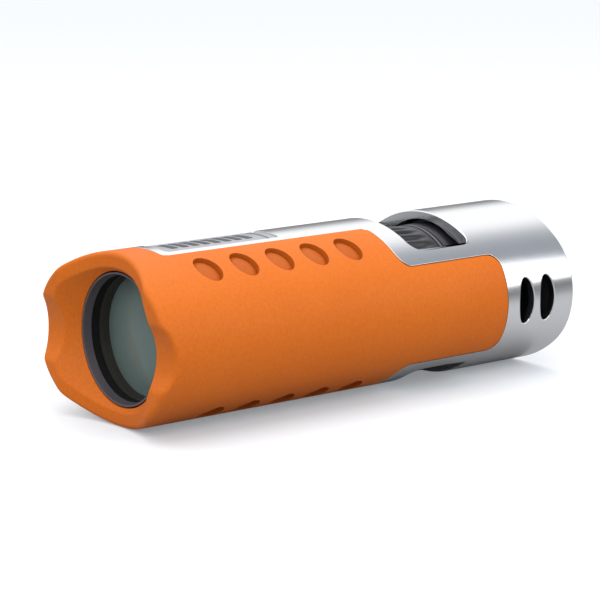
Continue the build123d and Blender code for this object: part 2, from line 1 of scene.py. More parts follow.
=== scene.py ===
"""Studio model of the pocket monocular: its visible pieces, their finishes and the studio.

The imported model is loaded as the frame. Outer pieces are modelled here and stand for their
CAD nodes; the inner pieces stay as they are and only get finishes. Sizes are in millimetres
about the optical axis: x to the strap-slot side, y from the hood's rim to the eye, z up.
"""

import logging
import math
from dataclasses import dataclass, field
from enum import Enum
from typing import Callable, Sequence

import bmesh
import bpy
from mathutils import Matrix, Vector


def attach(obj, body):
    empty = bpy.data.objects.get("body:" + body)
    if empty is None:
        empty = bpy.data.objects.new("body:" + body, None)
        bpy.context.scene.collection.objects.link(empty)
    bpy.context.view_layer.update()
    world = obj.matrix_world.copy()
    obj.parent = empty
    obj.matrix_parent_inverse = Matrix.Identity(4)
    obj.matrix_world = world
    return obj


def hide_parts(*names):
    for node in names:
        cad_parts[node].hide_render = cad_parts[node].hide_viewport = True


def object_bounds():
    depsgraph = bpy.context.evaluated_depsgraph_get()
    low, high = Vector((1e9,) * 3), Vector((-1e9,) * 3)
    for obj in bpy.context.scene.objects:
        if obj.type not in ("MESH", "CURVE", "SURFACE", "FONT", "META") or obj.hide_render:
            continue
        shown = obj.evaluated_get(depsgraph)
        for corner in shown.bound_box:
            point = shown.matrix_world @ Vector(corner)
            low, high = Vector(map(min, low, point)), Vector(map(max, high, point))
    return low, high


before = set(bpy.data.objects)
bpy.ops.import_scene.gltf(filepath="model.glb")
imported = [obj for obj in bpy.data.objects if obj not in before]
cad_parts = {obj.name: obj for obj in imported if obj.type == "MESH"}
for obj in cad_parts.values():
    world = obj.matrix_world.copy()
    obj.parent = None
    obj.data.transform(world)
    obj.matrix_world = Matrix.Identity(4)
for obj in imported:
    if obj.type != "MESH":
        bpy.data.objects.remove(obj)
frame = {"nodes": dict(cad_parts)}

Point = tuple[float, float, float]
Colour = tuple[float, float, float]

MM = 0.001
CAD_LOW, CAD_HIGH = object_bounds()
ORIGIN = Vector((0.0, CAD_LOW.y, (CAD_LOW.z + CAD_HIGH.z) / 2))
LENGTH = (CAD_HIGH.y - CAD_LOW.y) / MM
HALF_HEIGHT = (CAD_HIGH.z - CAD_LOW.z) / 2 / MM
HALF_WIDTH = (CAD_HIGH.x - CAD_LOW.x) / 2 / MM
SIDE_RADIUS = 13.1
REACH = 40.0
WELD_GAP = 0.001
ON_PLACE = 0.01

log = logging.getLogger("monocular")


class Body(Enum):
    """The moving bodies of the frame."""

    HOUSING = "housing"
    WHEEL = "focus_wheel"
    EYEPIECE = "eyepiece"


class Cut(Enum):
    """What a boolean tool does to a piece."""

    REMOVE = "DIFFERENCE"
    KEEP = "INTERSECT"


# --- bench: placing, selecting and shaping ------------------------------------------------
def spot(point: Sequence[float]) -> Vector:
    """Place in the row frame, in metres, of a point in millimetres about the optical axis.

    Args:
        point: x, y and z in millimetres.

    Returns:
        The same place in the row frame.
    """
    return ORIGIN + Vector(point) * MM


def gauge(place: Vector) -> Vector:
    """Millimetres about the optical axis of a place in the row frame.

    Args:
        place: a place in metres.

    Returns:
        The same place as x, y and z in millimetres.
    """
    return (place - ORIGIN) / MM


def bearing(place: Vector) -> float:
    """Angle of a place round the optical axis."""
    return math.atan2(place.z, place.x)


def hollow(across: float, radius: float, depth: float) -> float:
    """Depth of a round hollow at a distance from its middle, negative outside it."""
    if abs(across) >= radius:
        return depth - radius
    return depth - radius + math.sqrt(radius ** 2 - across ** 2)


def blend_up(first: float, second: float, width: float) -> float:
    """Larger of two values, with a smooth passage where they are close.

    Args:
        first: one value.
        second: the other value.
        width: difference under which they blend.

    Returns:
        The blended value.
    """
    closeness = max(width - abs(first - second), 0.0) / width
    return max(first, second) + closeness ** 2 * width / 4


def blend_share(value: float, low: float, high: float) -> float:
    """Smooth step from 0 at low to 1 at high.

    Args:
        value: place on the step.
        low: start of the step.
        high: end of the step.

    Returns:
        The share, 0 to 1.
    """
    share = min(max((value - low) / (high - low), 0.0), 1.0)
    return share * share * (3 - 2 * share)


def clear_selection() -> None:
    """Leave edit mode and deselect every object."""
    if bpy.context.mode != "OBJECT":
        bpy.ops.object.mode_set(mode="OBJECT")
    bpy.ops.object.select_all(action="DESELECT")


def take(piece: bpy.types.Object) -> None:
    """Make a piece the only selected object, and the active one.

    Args:
        piece: the object to work on.
    """
    clear_selection()
    piece.select_set(True)
    bpy.context.view_layer.objects.active = piece


def open_mesh(piece: bpy.types.Object) -> bmesh.types.BMesh:
    """Open a piece in edit mode with nothing selected.

    Args:
        piece: the object to edit.

    Returns:
        The edit mesh, for selecting by place.
    """
    take(piece)
    bpy.ops.object.mode_set(mode="EDIT")
    bpy.ops.mesh.select_mode(type="VERT")
    bpy.ops.mesh.select_all(action="DESELECT")
    return bmesh.from_edit_mesh(piece.data)


def close_mesh() -> None:
    """Go back to object mode."""
    bpy.ops.object.mode_set(mode="OBJECT")


def apply_modifier(piece: bpy.types.Object, kind: str, **settings: object) -> None:
    """Add a modifier, set it up and apply it.

    Args:
        piece: the object to change.
        kind: Blender's name of the modifier type.
        settings: its properties.
    """
    take(piece)
    modifier = piece.modifiers.new(kind.title(), kind)
    for key, value in settings.items():
        setattr(modifier, key, value)
    bpy.ops.object.modifier_apply(modifier=modifier.name)


def combine(piece: bpy.types.Object, tool: bpy.types.Object, cut: Cut) -> None:
    """Cut one closed mesh with another, or keep what they share, and use the tool up.

    Args:
        piece: the mesh that stays.
        tool: the mesh that is used up.
        cut: what the tool does.
    """
    apply_modifier(piece, "BOOLEAN", operation=cut.value, solver="EXACT", object=tool)
    bpy.data.objects.remove(tool)


def copy_of(piece: bpy.types.Object, name: str, change: Matrix) -> bpy.types.Object:
    """Copy a piece with its own mesh, moved by a matrix about the optical axis.

    Args:
        piece: the piece to copy.
        name: name of the copy.
        change: transform about the optical axis, in millimetres.

    Returns:
        The copy, its place in its mesh.
    """
    twin = piece.copy()
    twin.data = piece.data.copy()
    twin.name = twin.data.name = name
    bpy.context.scene.collection.objects.link(twin)
    home = Matrix.Translation(ORIGIN) @ Matrix.Scale(MM, 4)
    twin.data.transform(home @ change @ home.inverted())
    if change.determinant() < 0:
        twin.data.flip_normals()
    return twin


def join_all(name: str, pieces: Sequence[bpy.types.Object]) -> bpy.types.Object:
    """Join pieces into one object.

    Args:
        name: name of the joined object.
        pieces: the objects to join.

    Returns:
        The joined object.
    """
    take(pieces[0])
    for piece in pieces[1:]:
        piece.select_set(True)
    bpy.ops.object.join()
    pieces[0].name = pieces[0].data.name = name
    return pieces[0]


def bevel_edges(piece: bpy.types.Object, radius: float, steps: int, sharper: float,
                where: Callable[[Vector], bool]) -> int:
    """Round the sharp edges of a piece whose middles pass a test.

    Args:
        piece: the piece to round.
        radius: size of the rounding in millimetres.
        steps: segments across the rounding.
        sharper: only edges that turn by more than this many degrees.
        where: test on the middle of an edge, in millimetres about the axis.

    Returns:
        How many edges were rounded.
    """
    mesh = open_mesh(piece)
    bpy.ops.mesh.select_mode(type="EDGE")
    found = [
        edge for edge in mesh.edges
        if len(edge.link_faces) == 2
        and math.degrees(edge.calc_face_angle(0.0)) > sharper
        and where(gauge((edge.verts[0].co + edge.verts[1].co) / 2))
    ]
    for edge in found:
        edge.select_set(True)
    bmesh.update_edit_mesh(piece.data)
    if found:
        bpy.ops.mesh.bevel(offset=radius * MM, offset_type="OFFSET", segments=steps, affect="EDGES",
                           clamp_overlap=False, loop_slide=True, miter_outer="ARC")
    close_mesh()
    return len(found)


def tidy_mesh(piece: bpy.types.Object, gap: float = 0.002) -> None:
    """Merge doubles, dissolve needle faces and turn normals outwards.

    Args:
        piece: the piece to clean.
        gap: distance in millimetres under which corners are merged.
    """
    open_mesh(piece)
    bpy.ops.mesh.select_all(action="SELECT")
    bpy.ops.mesh.remove_doubles(threshold=gap * MM)
    bpy.ops.mesh.dissolve_degenerate(threshold=gap * MM)
    bpy.ops.mesh.normals_make_consistent(inside=False)
    close_mesh()


def smooth(piece: bpy.types.Object, angle: float = 32.0) -> None:
    """Shade smooth up to an angle, with the wide faces leading the normals.

    Args:
        piece: the piece to shade.
        angle: edges sharper than this many degrees stay sharp.
    """
    take(piece)
    bpy.ops.object.shade_smooth_by_angle(angle=math.radians(angle))
    apply_modifier(piece, "WEIGHTED_NORMAL", keep_sharp=True, weight=60, mode="FACE_AREA_WITH_ANGLE")


def follow_skin(piece: bpy.types.Object) -> None:
    """Give the corners that lie on the body's skin the skin's own normal.

    Args:
        piece: a piece that has been smoothed.
    """
    mesh = piece.data
    normals = [corner.vector.copy() for corner in mesh.corner_normals]
    for face in mesh.polygons:
        for index in face.loop_indices:
            place = gauge(mesh.vertices[mesh.loops[index].vertex_index].co)
            if abs(OVAL.depth(place)) < ON_PLACE and OVAL.normal(place).dot(face.normal) > 0.985:
                normals[index] = OVAL.normal(place)
    mesh.normals_split_custom_set(normals)


class Pen:
    """Draws a chain of edges by extruding and spinning a single corner."""

    def __init__(self, name: str, start: Point) -> None:
        """Put the first corner down.

        Args:
            name: name of the new piece.
            start: first corner, in millimetres about the axis.
        """
        clear_selection()
        bpy.ops.mesh.primitive_plane_add(size=MM)
        self.piece = bpy.context.object
        self.piece.name = self.piece.data.name = name
        bpy.ops.object.mode_set(mode="EDIT")
        bpy.ops.mesh.select_mode(type="VERT")
        bpy.ops.mesh.select_all(action="SELECT")
        bpy.ops.mesh.merge(type="CENTER")
        bpy.ops.mesh.select_all(action="SELECT")
        bpy.ops.transform.translate(value=spot(start))

    def tip(self) -> Vector:
        """Where the chain ends now, in metres in the row frame."""
        mesh = bmesh.from_edit_mesh(self.piece.data)
        return next(v.co.copy() for v in mesh.verts if v.select)

    def line(self, *corners: Point) -> "Pen":
        """Extrude the tip to each corner in turn.

        Args:
            corners: the next corners, in millimetres about the axis.

        Returns:
            The pen.
        """
        for corner in corners:
            step = spot(corner) - self.tip()
            bpy.ops.mesh.extrude_region_move(TRANSFORM_OT_translate={"value": step})
        return self

    def arc(self, centre: Point, degrees: float, steps: int, axis: Point = (0, 1, 0)) -> "Pen":
        """Spin the tip about a centre. About Y, a positive turn goes from +x to +z.

        Args:
            centre: centre of the arc, in millimetres about the axis.
            degrees: how far to turn.
            steps: edges along the arc.
            axis: direction of the turning axis.

        Returns:
            The pen.
        """
        bpy.ops.mesh.spin(steps=steps, angle=math.radians(degrees), center=spot(centre), axis=axis)
        return self

    def corners(self) -> list[Vector]:
        """Places of the selected corners, in millimetres, in order round the axis."""
        mesh = bmesh.from_edit_mesh(self.piece.data)
        places = [gauge(corner.co) for corner in mesh.verts if corner.select]
        return sorted(places, key=bearing)

    def ring(self, lay: Callable[[int, Vector], Vector]) -> "Pen":
        """Extrude the selected ring and lay each of its corners down anew.

        Args:
            lay: turns a corner's number round the axis and its place into the new place.

        Returns:
            The pen.
        """
        bpy.ops.mesh.extrude_region_move()
        mesh = bmesh.from_edit_mesh(self.piece.data)
        ring = [corner for corner in mesh.verts if corner.select]
        ring.sort(key=lambda corner: bearing(gauge(corner.co)))
        for index, corner in enumerate(ring):
            corner.co = spot(lay(index, gauge(corner.co)))
        bmesh.update_edit_mesh(self.piece.data)
        return self

    def weld(self) -> "Pen":
        """Merge the end of the chain into its start."""
        bpy.ops.mesh.select_all(action="SELECT")
        bpy.ops.mesh.remove_doubles(threshold=WELD_GAP * MM)
        return self

    def round(self, radius: float, steps: int, where: Callable[[Vector], bool]) -> "Pen":
        """Round the corners that pass a test.

        Args:
            radius: radius in millimetres.
            steps: edges across each corner.
            where: test on a corner's place in millimetres.

        Returns:
            The pen.
        """
        mesh = bmesh.from_edit_mesh(self.piece.data)
        bpy.ops.mesh.select_all(action="DESELECT")
        for corner in mesh.verts:
            corner.select_set(where(gauge(corner.co)))
        bmesh.update_edit_mesh(self.piece.data)
        bpy.ops.mesh.bevel(offset=radius * MM, offset_type="OFFSET", segments=steps, affect="VERTICES",
                           clamp_overlap=True)
        return self

    def pull(self, way: Point) -> bpy.types.Object:
        """Fill the closed outline and extrude it into a solid.

        Args:
            way: direction and length of the extrusion, in millimetres.

        Returns:
            The closed solid.
        """
        bpy.ops.mesh.select_all(action="SELECT")
        bpy.ops.mesh.edge_face_add()
        bpy.ops.mesh.extrude_region_move(TRANSFORM_OT_translate={"value": Vector(way) * MM})
        bpy.ops.mesh.select_all(action="SELECT")
        bpy.ops.mesh.normals_make_consistent(inside=False)
        close_mesh()
        return self.piece

    def turn(self, steps: int = 160) -> bpy.types.Object:
        """Spin the chain a full turn about the optical axis.

        Args:
            steps: segments round the axis.

        Returns:
            The turned piece, its seam and poles closed.
        """
        bpy.ops.mesh.select_all(action="SELECT")
        bpy.ops.mesh.spin(steps=steps, angle=math.tau, center=ORIGIN, axis=(0, 1, 0))
        bpy.ops.mesh.select_all(action="SELECT")
        bpy.ops.mesh.remove_doubles(threshold=WELD_GAP * MM)
        bpy.ops.mesh.normals_make_consistent(inside=False)
        close_mesh()
        return self.piece


def lathe(name: str, profile: Sequence[tuple[float, float]], soft: float = 0.0,
          steps: int = 160, soften: Callable[[Vector], bool] | None = None) -> bpy.types.Object:
    """Turn a profile into a ring, or into a solid if it starts and ends on the axis.

    Args:
        name: name of the piece.
        profile: corners as (radius, y) in millimetres; a ring's is closed by the first one.
        soft: rounding of the corners in millimetres.
        steps: segments round the axis.
        soften: which corners are rounded; all that are off the axis unless given.

    Returns:
        The turned piece.
    """
    corners = [(r, y, 0.0) for r, y in profile]
    solid = profile[0][0] == 0
    pen = Pen(name, corners[0]).line(*corners[1:])
    if not solid:
        pen.line(corners[0]).weld()
    if soft:
        pen.round(soft, 3, soften or (lambda place: place.x > ON_PLACE))
    return pen.turn(steps)


# --- the oval section ---------------------------------------------------------------------
@dataclass(frozen=True)
class Oval:
    """Body section: two flat crown arcs and two tight side arcs that meet in tangency."""

    half_width: float = HALF_WIDTH
    half_height: float = HALF_HEIGHT
    side_radius: float = SIDE_RADIUS
    side_steps: int = 44
    crown_steps: int = 48

    @property
    def side_x(self) -> float:
        """Distance of a side arc's centre from the axis."""
        return self.half_width - self.side_radius

    @property
    def crown_radius(self) -> float:
        """Radius of the crown arcs."""
        reach = self.side_x ** 2 + self.half_height ** 2 - self.side_radius ** 2
        return reach / (2 * (self.half_height - self.side_radius))

    @property
    def crown_z(self) -> float:
        """How far a crown arc's centre lies beyond the axis."""
        return self.crown_radius - self.half_height

    @property
    def joint_angle(self) -> float:
        """Angle above the horizontal at which the arcs meet, in degrees."""
        return math.degrees(math.atan2(self.crown_z, self.side_x))

    def draw(self, name: str, y: float, inset: float = 0.0) -> Pen:
        """Draw the section's outline at a station.

        Args:
            name: name of the new piece.
            y: station in millimetres.
            inset: how far inside the body's skin.

        Returns:
            The pen, with the outline closed.
        """
        angle = math.radians(self.joint_angle)
        radius = self.side_radius - inset
        start = (self.side_x + radius * math.cos(angle), y, -radius * math.sin(angle))
        side = 2 * self.joint_angle
        crown = 180 - side
        pen = Pen(name, start)
        pen.arc((self.side_x, y, 0), side, self.side_steps)
        pen.arc((0, y, -self.crown_z), crown, self.crown_steps)
        pen.arc((-self.side_x, y, 0), side, self.side_steps)
        pen.arc((0, y, self.crown_z), crown, self.crown_steps)
        return pen.weld()

    def bar(self, name: str, start: float, end: float, inset: float = 0.0) -> bpy.types.Object:
        """Solid bar of the section between two stations.

        Args:
            name: name of the new piece.
            start: first station in millimetres.
            end: last station in millimetres.
            inset: how far inside the body's skin.

        Returns:
            The solid.
        """
        return self.draw(name, start, inset).pull((0, end - start, 0))

    def depth(self, place: Vector) -> float:
        """How deep a place lies inside the section.

        Args:
            place: the place in millimetres about the axis.

        Returns:
            Depth below the skin in millimetres, negative outside it.
        """
        x, z = abs(place.x), abs(place.z)
        from_side = math.hypot(x - self.side_x, z) - self.side_radius
        from_crown = math.hypot(x, z + self.crown_z) - self.crown_radius
        on_crown = x * self.crown_z < (z + self.crown_z) * self.side_x
        return -(from_crown if on_crown else from_side)

    def normal(self, place: Vector) -> Vector:
        """Outward direction of the skin beside a place."""
        side = math.copysign(1, place.x)
        crown = math.copysign(1, place.z)
        x, z = abs(place.x), abs(place.z)
        if x * self.crown_z < (z + self.crown_z) * self.side_x:
            return Vector((side * x, 0, crown * (z + self.crown_z))).normalized()
        return Vector((side * (x - self.side_x), 0, crown * z)).normalized()

    def crown_height(self, x: float) -> float:
        """Height of the skin above the axis at a sideways distance, on the crown."""
        return math.sqrt(self.crown_radius ** 2 - x ** 2) - self.crown_z


OVAL = Oval()


@dataclass(frozen=True)
class SleeveRegion:
    """Where the sleeve lies: a full wrap, a tongue down each side and a strip left open."""

    wrap_end: float = 55.5
    tongue_end: float = 78.3
    tongue_half: float = 9.0
    tongue_corner: float = 2.2
    strip_start: float = 9.6
    strip_half: float = 5.25
    strip_corner: float = 1.5

    def block(self, name: str, grow: float) -> bpy.types.Object:
        """Solid that covers the region, from well inside to well outside the body.

        Args:
            name: name of the new piece.
            grow: how far the outline is moved outwards, in millimetres.

        Returns:
            The closed solid.
        """
        wrap, tongue, half = self.wrap_end + grow, self.tongue_end + grow, self.tongue_half + grow
        side = Pen(name, (-REACH, -REACH, -REACH)).line(
            (-REACH, wrap, -REACH), (-REACH, wrap, -half), (-REACH, tongue, -half),
            (-REACH, tongue, half), (-REACH, wrap, half), (-REACH, wrap, REACH),
            (-REACH, -REACH, REACH), (-REACH, -REACH, -REACH))
        side.weld().round(self.tongue_corner, 8, lambda place: abs(abs(place.z) - half) < ON_PLACE)
        block = side.pull((2 * REACH, 0, 0))
        top = self.strip(f"{name}_strip", grow)
        bottom = copy_of(top, f"{name}_strip_below", Matrix.Scale(-1, 4, (0, 0, 1)))
        combine(block, top, Cut.REMOVE)
        combine(block, bottom, Cut.REMOVE)
        return block

    def strip(self, name: str, grow: float) -> bpy.types.Object:
        """Solid of the open strip on the upper crown.

        Args:
            name: name of the new piece.
            grow: how far the sleeve's outline is moved outwards.

        Returns:
            The closed solid.
        """
        half, start, end = self.strip_half - grow, self.strip_start + grow, self.wrap_end + grow
        base = self.tongue_half + self.tongue_corner + grow
        plan = Pen(name, (-half, start, base)).line(
            (half, start, base), (half, end, base), (REACH + 5, end, base),
            (REACH + 5, 2 * REACH + 5, base), (-REACH - 5, 2 * REACH + 5, base),
            (-REACH - 5, end, base), (-half, end, base), (-half, start, base))
        plan.weld().round(self.strip_corner, 8, lambda place: abs(abs(place.x) - half) < ON_PLACE)
        return plan.pull((0, 0, REACH))


@dataclass(frozen=True)
class PlateOutline:
    """Plan of the name plate in the upper strip."""

    start: float = 11.6
    end: float = 36.6
    half: float = 3.8
    corner: float = 0.9

    def column(self, name: str, shrink: float = 0.0) -> bpy.types.Object:
        """Upright prism of the plate's plan.

        Args:
            name: name of the new piece.
            shrink: how far the outline is moved inwards.

        Returns:
            The closed solid.
        """
        half, start, end = self.half - shrink, self.start + shrink, self.end - shrink
        plan = Pen(name, (-half, start, 0)).line(
            (half, start, 0), (half, end, 0), (-half, end, 0), (-half, start, 0))
        plan.weld().round(self.corner, 6, lambda place: True)
        return plan.pull((0, 0, REACH))


# --- finishes -----------------------------------------------------------------------------
class Effect:
    """A shader node group shared by several finishes, with named inputs and outputs."""

    def __init__(self, name: str, inputs: dict[str, float], outputs: Sequence[str]) -> None:
        """Make an empty group that reads the piece's own coordinates.

        Args:
            name: name of the group.
            inputs: float inputs with their usual values.
            outputs: float outputs.
        """
        self.tree = bpy.data.node_groups.new(name, "ShaderNodeTree")
        for label, value in inputs.items():
            socket = self.tree.interface.new_socket(label, in_out="INPUT", socket_type="NodeSocketFloat")
            socket.default_value = value
        for label in outputs:
            self.tree.interface.new_socket(label, in_out="OUTPUT", socket_type="NodeSocketFloat")
        self.source = self.tree.nodes.new("NodeGroupInput")
        self.sink = self.tree.nodes.new("NodeGroupOutput")
        self.coordinates = self.tree.nodes.new("ShaderNodeTexCoord")

    def noise(self, scale: bpy.types.NodeSocket | float, detail: float) -> bpy.types.NodeSocket:
        """Add a noise texture on Object coordinates.

        Args:
            scale: value or socket of the scale, in features per metre.
            detail: octaves of detail.

        Returns:
            The noise value from 0 to 1.
        """
        node = self.tree.nodes.new("ShaderNodeTexNoise")
        node.inputs["Detail"].default_value = detail
        self.tree.links.new(self.coordinates.outputs["Object"], node.inputs["Vector"])
        self.feed(scale, node.inputs["Scale"])
        return node.outputs["Fac"]

    def math(self, operation: str, *values: bpy.types.NodeSocket | float) -> bpy.types.NodeSocket:
        """Add a math node.

        Args:
            operation: Blender's name of the operation.
            values: its inputs, as sockets or numbers.

        Returns:
            The result.
        """
        node = self.tree.nodes.new("ShaderNodeMath")
        node.operation = operation
        for value, socket in zip(values, node.inputs):
            self.feed(value, socket)
        return node.outputs[0]

    def spread(self, value: bpy.types.NodeSocket, low: float, high: float) -> bpy.types.NodeSocket:
        """Stretch the part of a value between two limits over 0 to 1, with soft ends.

        Args:
            value: the value.
            low: what becomes 0.
            high: what becomes 1.

        Returns:
            The stretched value.
        """
        node = self.tree.nodes.new("ShaderNodeMapRange")
        node.interpolation_type = "SMOOTHSTEP"
        self.tree.links.new(value, node.inputs["Value"])
        node.inputs["From Min"].default_value = low
        node.inputs["From Max"].default_value = high
        return node.outputs["Result"]

    def feed(self, value: bpy.types.NodeSocket | float, socket: bpy.types.NodeSocket) -> None:
        """Link a socket or set a number.

        Args:
            value: what to feed.
            socket: where it goes.
        """
        if isinstance(value, bpy.types.NodeSocket):
            self.tree.links.new(value, socket)
        else:
            socket.default_value = value

    def give(self, label: str, value: bpy.types.NodeSocket) -> None:
        """Send a value out of the group under a name."""
        self.tree.links.new(value, self.sink.inputs[label])


def make_grain() -> Effect:
    """Fine moulded grain: a speckle mask and its height.

    Returns:
        The group, with inputs Size and Depth and outputs Speckle, Tone and Height.
    """
    effect = Effect("Moulded grain", {"Size": 6000.0, "Depth": 1.0}, ("Speckle", "Tone", "Height"))
    size = effect.source.outputs["Size"]
    fine = effect.noise(size, 2.0)
    coarse = effect.noise(effect.math("MULTIPLY", size, 0.38), 3.0)
    broad = effect.noise(45.0, 2.0)
    speckle = effect.spread(effect.math("ADD", effect.math("MULTIPLY", fine, 0.6),
                                        effect.math("MULTIPLY", coarse, 0.4)), 0.36, 0.66)
    effect.give("Speckle", speckle)
    effect.give("Tone", effect.spread(broad, 0.3, 0.7))
    effect.give("Height", effect.math("MULTIPLY", speckle, effect.source.outputs["Depth"]))
    return effect


def make_handling() -> Effect:
    """Marks of handling: faint smudges and fine dust that change the gloss.

    Returns:
        The group, with inputs Smudge and Dust and outputs Gloss and Mottle.
    """
    effect = Effect("Handling", {"Smudge": 0.06, "Dust": 0.03}, ("Gloss", "Mottle"))
    smudge = effect.spread(effect.noise(90.0, 3.0), 0.35, 0.75)
    dust = effect.spread(effect.noise(5200.0, 1.0), 0.62, 0.72)
    total = effect.math("ADD", effect.math("MULTIPLY", smudge, effect.source.outputs["Smudge"]),
                        effect.math("MULTIPLY", dust, effect.source.outputs["Dust"]))
    effect.give("Gloss", total)
    effect.give("Mottle", smudge)
    return effect


class Palette:
    """The effects that the finishes share, built once."""

    def __init__(self) -> None:
        """Build the shared groups."""
        self.grain = make_grain()
        self.handling = make_handling()


@dataclass(frozen=True)
class Finish:
    """A surface: two tones under a grain, a gloss that handling changes, and its bump."""

    name: str
    slot: str
    light: Colour
    dark: Colour
    roughness: float
    metallic: float = 0.0
    grain_size: float = 5200.0
    grain_depth: float = 0.004
    speckle: float = 0.5
    smudge: float = 0.05
    dust: float = 0.02
    ior: float = 1.5
    spill: float = 0.0

    def make(self, palette: Palette) -> bpy.types.Material:
        """Build the material.

        Args:
            palette: the shared groups.

        Returns:
            The material.
        """
        material, tree, shader = blank_material(self.name)
        grain = add_group(tree, palette.grain, {"Size": self.grain_size, "Depth": 1.0})
        handling = add_group(tree, palette.handling, {"Smudge": self.smudge, "Dust": self.dust})
        speckled = mix_colour(tree, self.light, self.dark, grain.outputs["Speckle"], self.speckle)
        toned = mix_colour(tree, speckled, self.dark, grain.outputs["Tone"], self.speckle * 0.4)
        if self.spill:
            seen = tree.nodes.new("ShaderNodeLightPath")
            grey = sum(self.light) / 3
            toned = mix_colour(tree, toned, (grey, grey, grey), seen.outputs["Is Diffuse Ray"], self.spill)
        tree.links.new(toned, shader.inputs["Base Color"])
        rough = tree.nodes.new("ShaderNodeMath")
        rough.operation = "ADD"
        rough.inputs[1].default_value = self.roughness
        tree.links.new(handling.outputs["Gloss"], rough.inputs[0])
        tree.links.new(rough.outputs[0], shader.inputs["Roughness"])
        bump = tree.nodes.new("ShaderNodeBump")
        bump.inputs["Distance"].default_value = self.grain_depth * MM
        tree.links.new(grain.outputs["Height"], bump.inputs["Height"])
        tree.links.new(bump.outputs["Normal"], shader.inputs["Normal"])
        shader.inputs["Metallic"].default_value = self.metallic
        shader.inputs["IOR"].default_value = self.ior
        return material


@dataclass(frozen=True)
class Glass:
    """Polished glass with a tinted anti-reflection coating."""

    name: str
    slot: str
    tint: Colour
    reflection: Colour
    ior: float = 1.6
    dust: float = 0.012
    clear: float = 1.0

    def make(self, palette: Palette) -> bpy.types.Material:
        """Build the material.

        Args:
            palette: the shared groups.

        Returns:
            The material.
        """
        material, tree, shader = blank_material(self.name)
        handling = add_group(tree, palette.handling, {"Smudge": 0.008, "Dust": self.dust})
        tree.links.new(handling.outputs["Gloss"], shader.inputs["Roughness"])
        paler = tuple(min(1.0, 1.04 * part) for part in self.tint)
        tree.links.new(mix_colour(tree, self.tint, paler, handling.outputs["Mottle"], 1.0),
                       shader.inputs["Base Color"])
        # Where the clear share is under 1, the rest of the glass is a diffuse tinted surface, a painted
        # reflection of the coating.
        shader.inputs["Transmission Weight"].default_value = self.clear
        shader.inputs["IOR"].default_value = self.ior
        shader.inputs["Specular Tint"].default_value = (*self.reflection, 1.0)
        return material


def blank_material(name: str) -> tuple[bpy.types.Material, bpy.types.NodeTree, bpy.types.Node]:
    """Make a material with only a Principled shader.

    Args:
        name: name of the material.

    Returns:
        The material, its node tree and the shader.
    """
    material = bpy.data.materials.new(name)
    material.use_nodes = True
    return material, material.node_tree, material.node_tree.nodes["Principled BSDF"]


def add_group(tree: bpy.types.NodeTree, effect: Effect, values: dict[str, float]) -> bpy.types.Node:
    """Place a shared effect in a material.

    Args:
        tree: the material's node tree.
        effect: the shared effect.
        values: its inputs here.

    Returns:
        The group node.
    """
    node = tree.nodes.new("ShaderNodeGroup")
    node.node_tree = effect.tree
    for label, value in values.items():
        node.inputs[label].default_value = value
    return node


def mix_colour(tree: bpy.types.NodeTree, first: bpy.types.NodeSocket | Colour, second: Colour,
               mask: bpy.types.NodeSocket, share: float) -> bpy.types.NodeSocket:
    """Mix a colour towards another where a mask is high.

    Args:
        tree: the material's node tree.
        first: colour or socket where the mask is 0.
        second: colour where the mask is 1 and the share is 1.
        mask: the mask.
        share: how much of the second colour shows at most.

    Returns:
        The mixed colour.
    """
    scaled = tree.nodes.new("ShaderNodeMath")
    scaled.operation = "MULTIPLY"
    scaled.inputs[1].default_value = share
    tree.links.new(mask, scaled.inputs[0])
    mix = tree.nodes.new("ShaderNodeMix")
    mix.data_type = "RGBA"
    tree.links.new(scaled.outputs[0], mix.inputs["Factor"])
    if isinstance(first, bpy.types.NodeSocket):
        tree.links.new(first, mix.inputs["A"])
    else:
        mix.inputs["A"].default_value = (*first, 1.0)
    mix.inputs["B"].default_value = (*second, 1.0)
    return next(socket for socket in mix.outputs if socket.type == "RGBA")


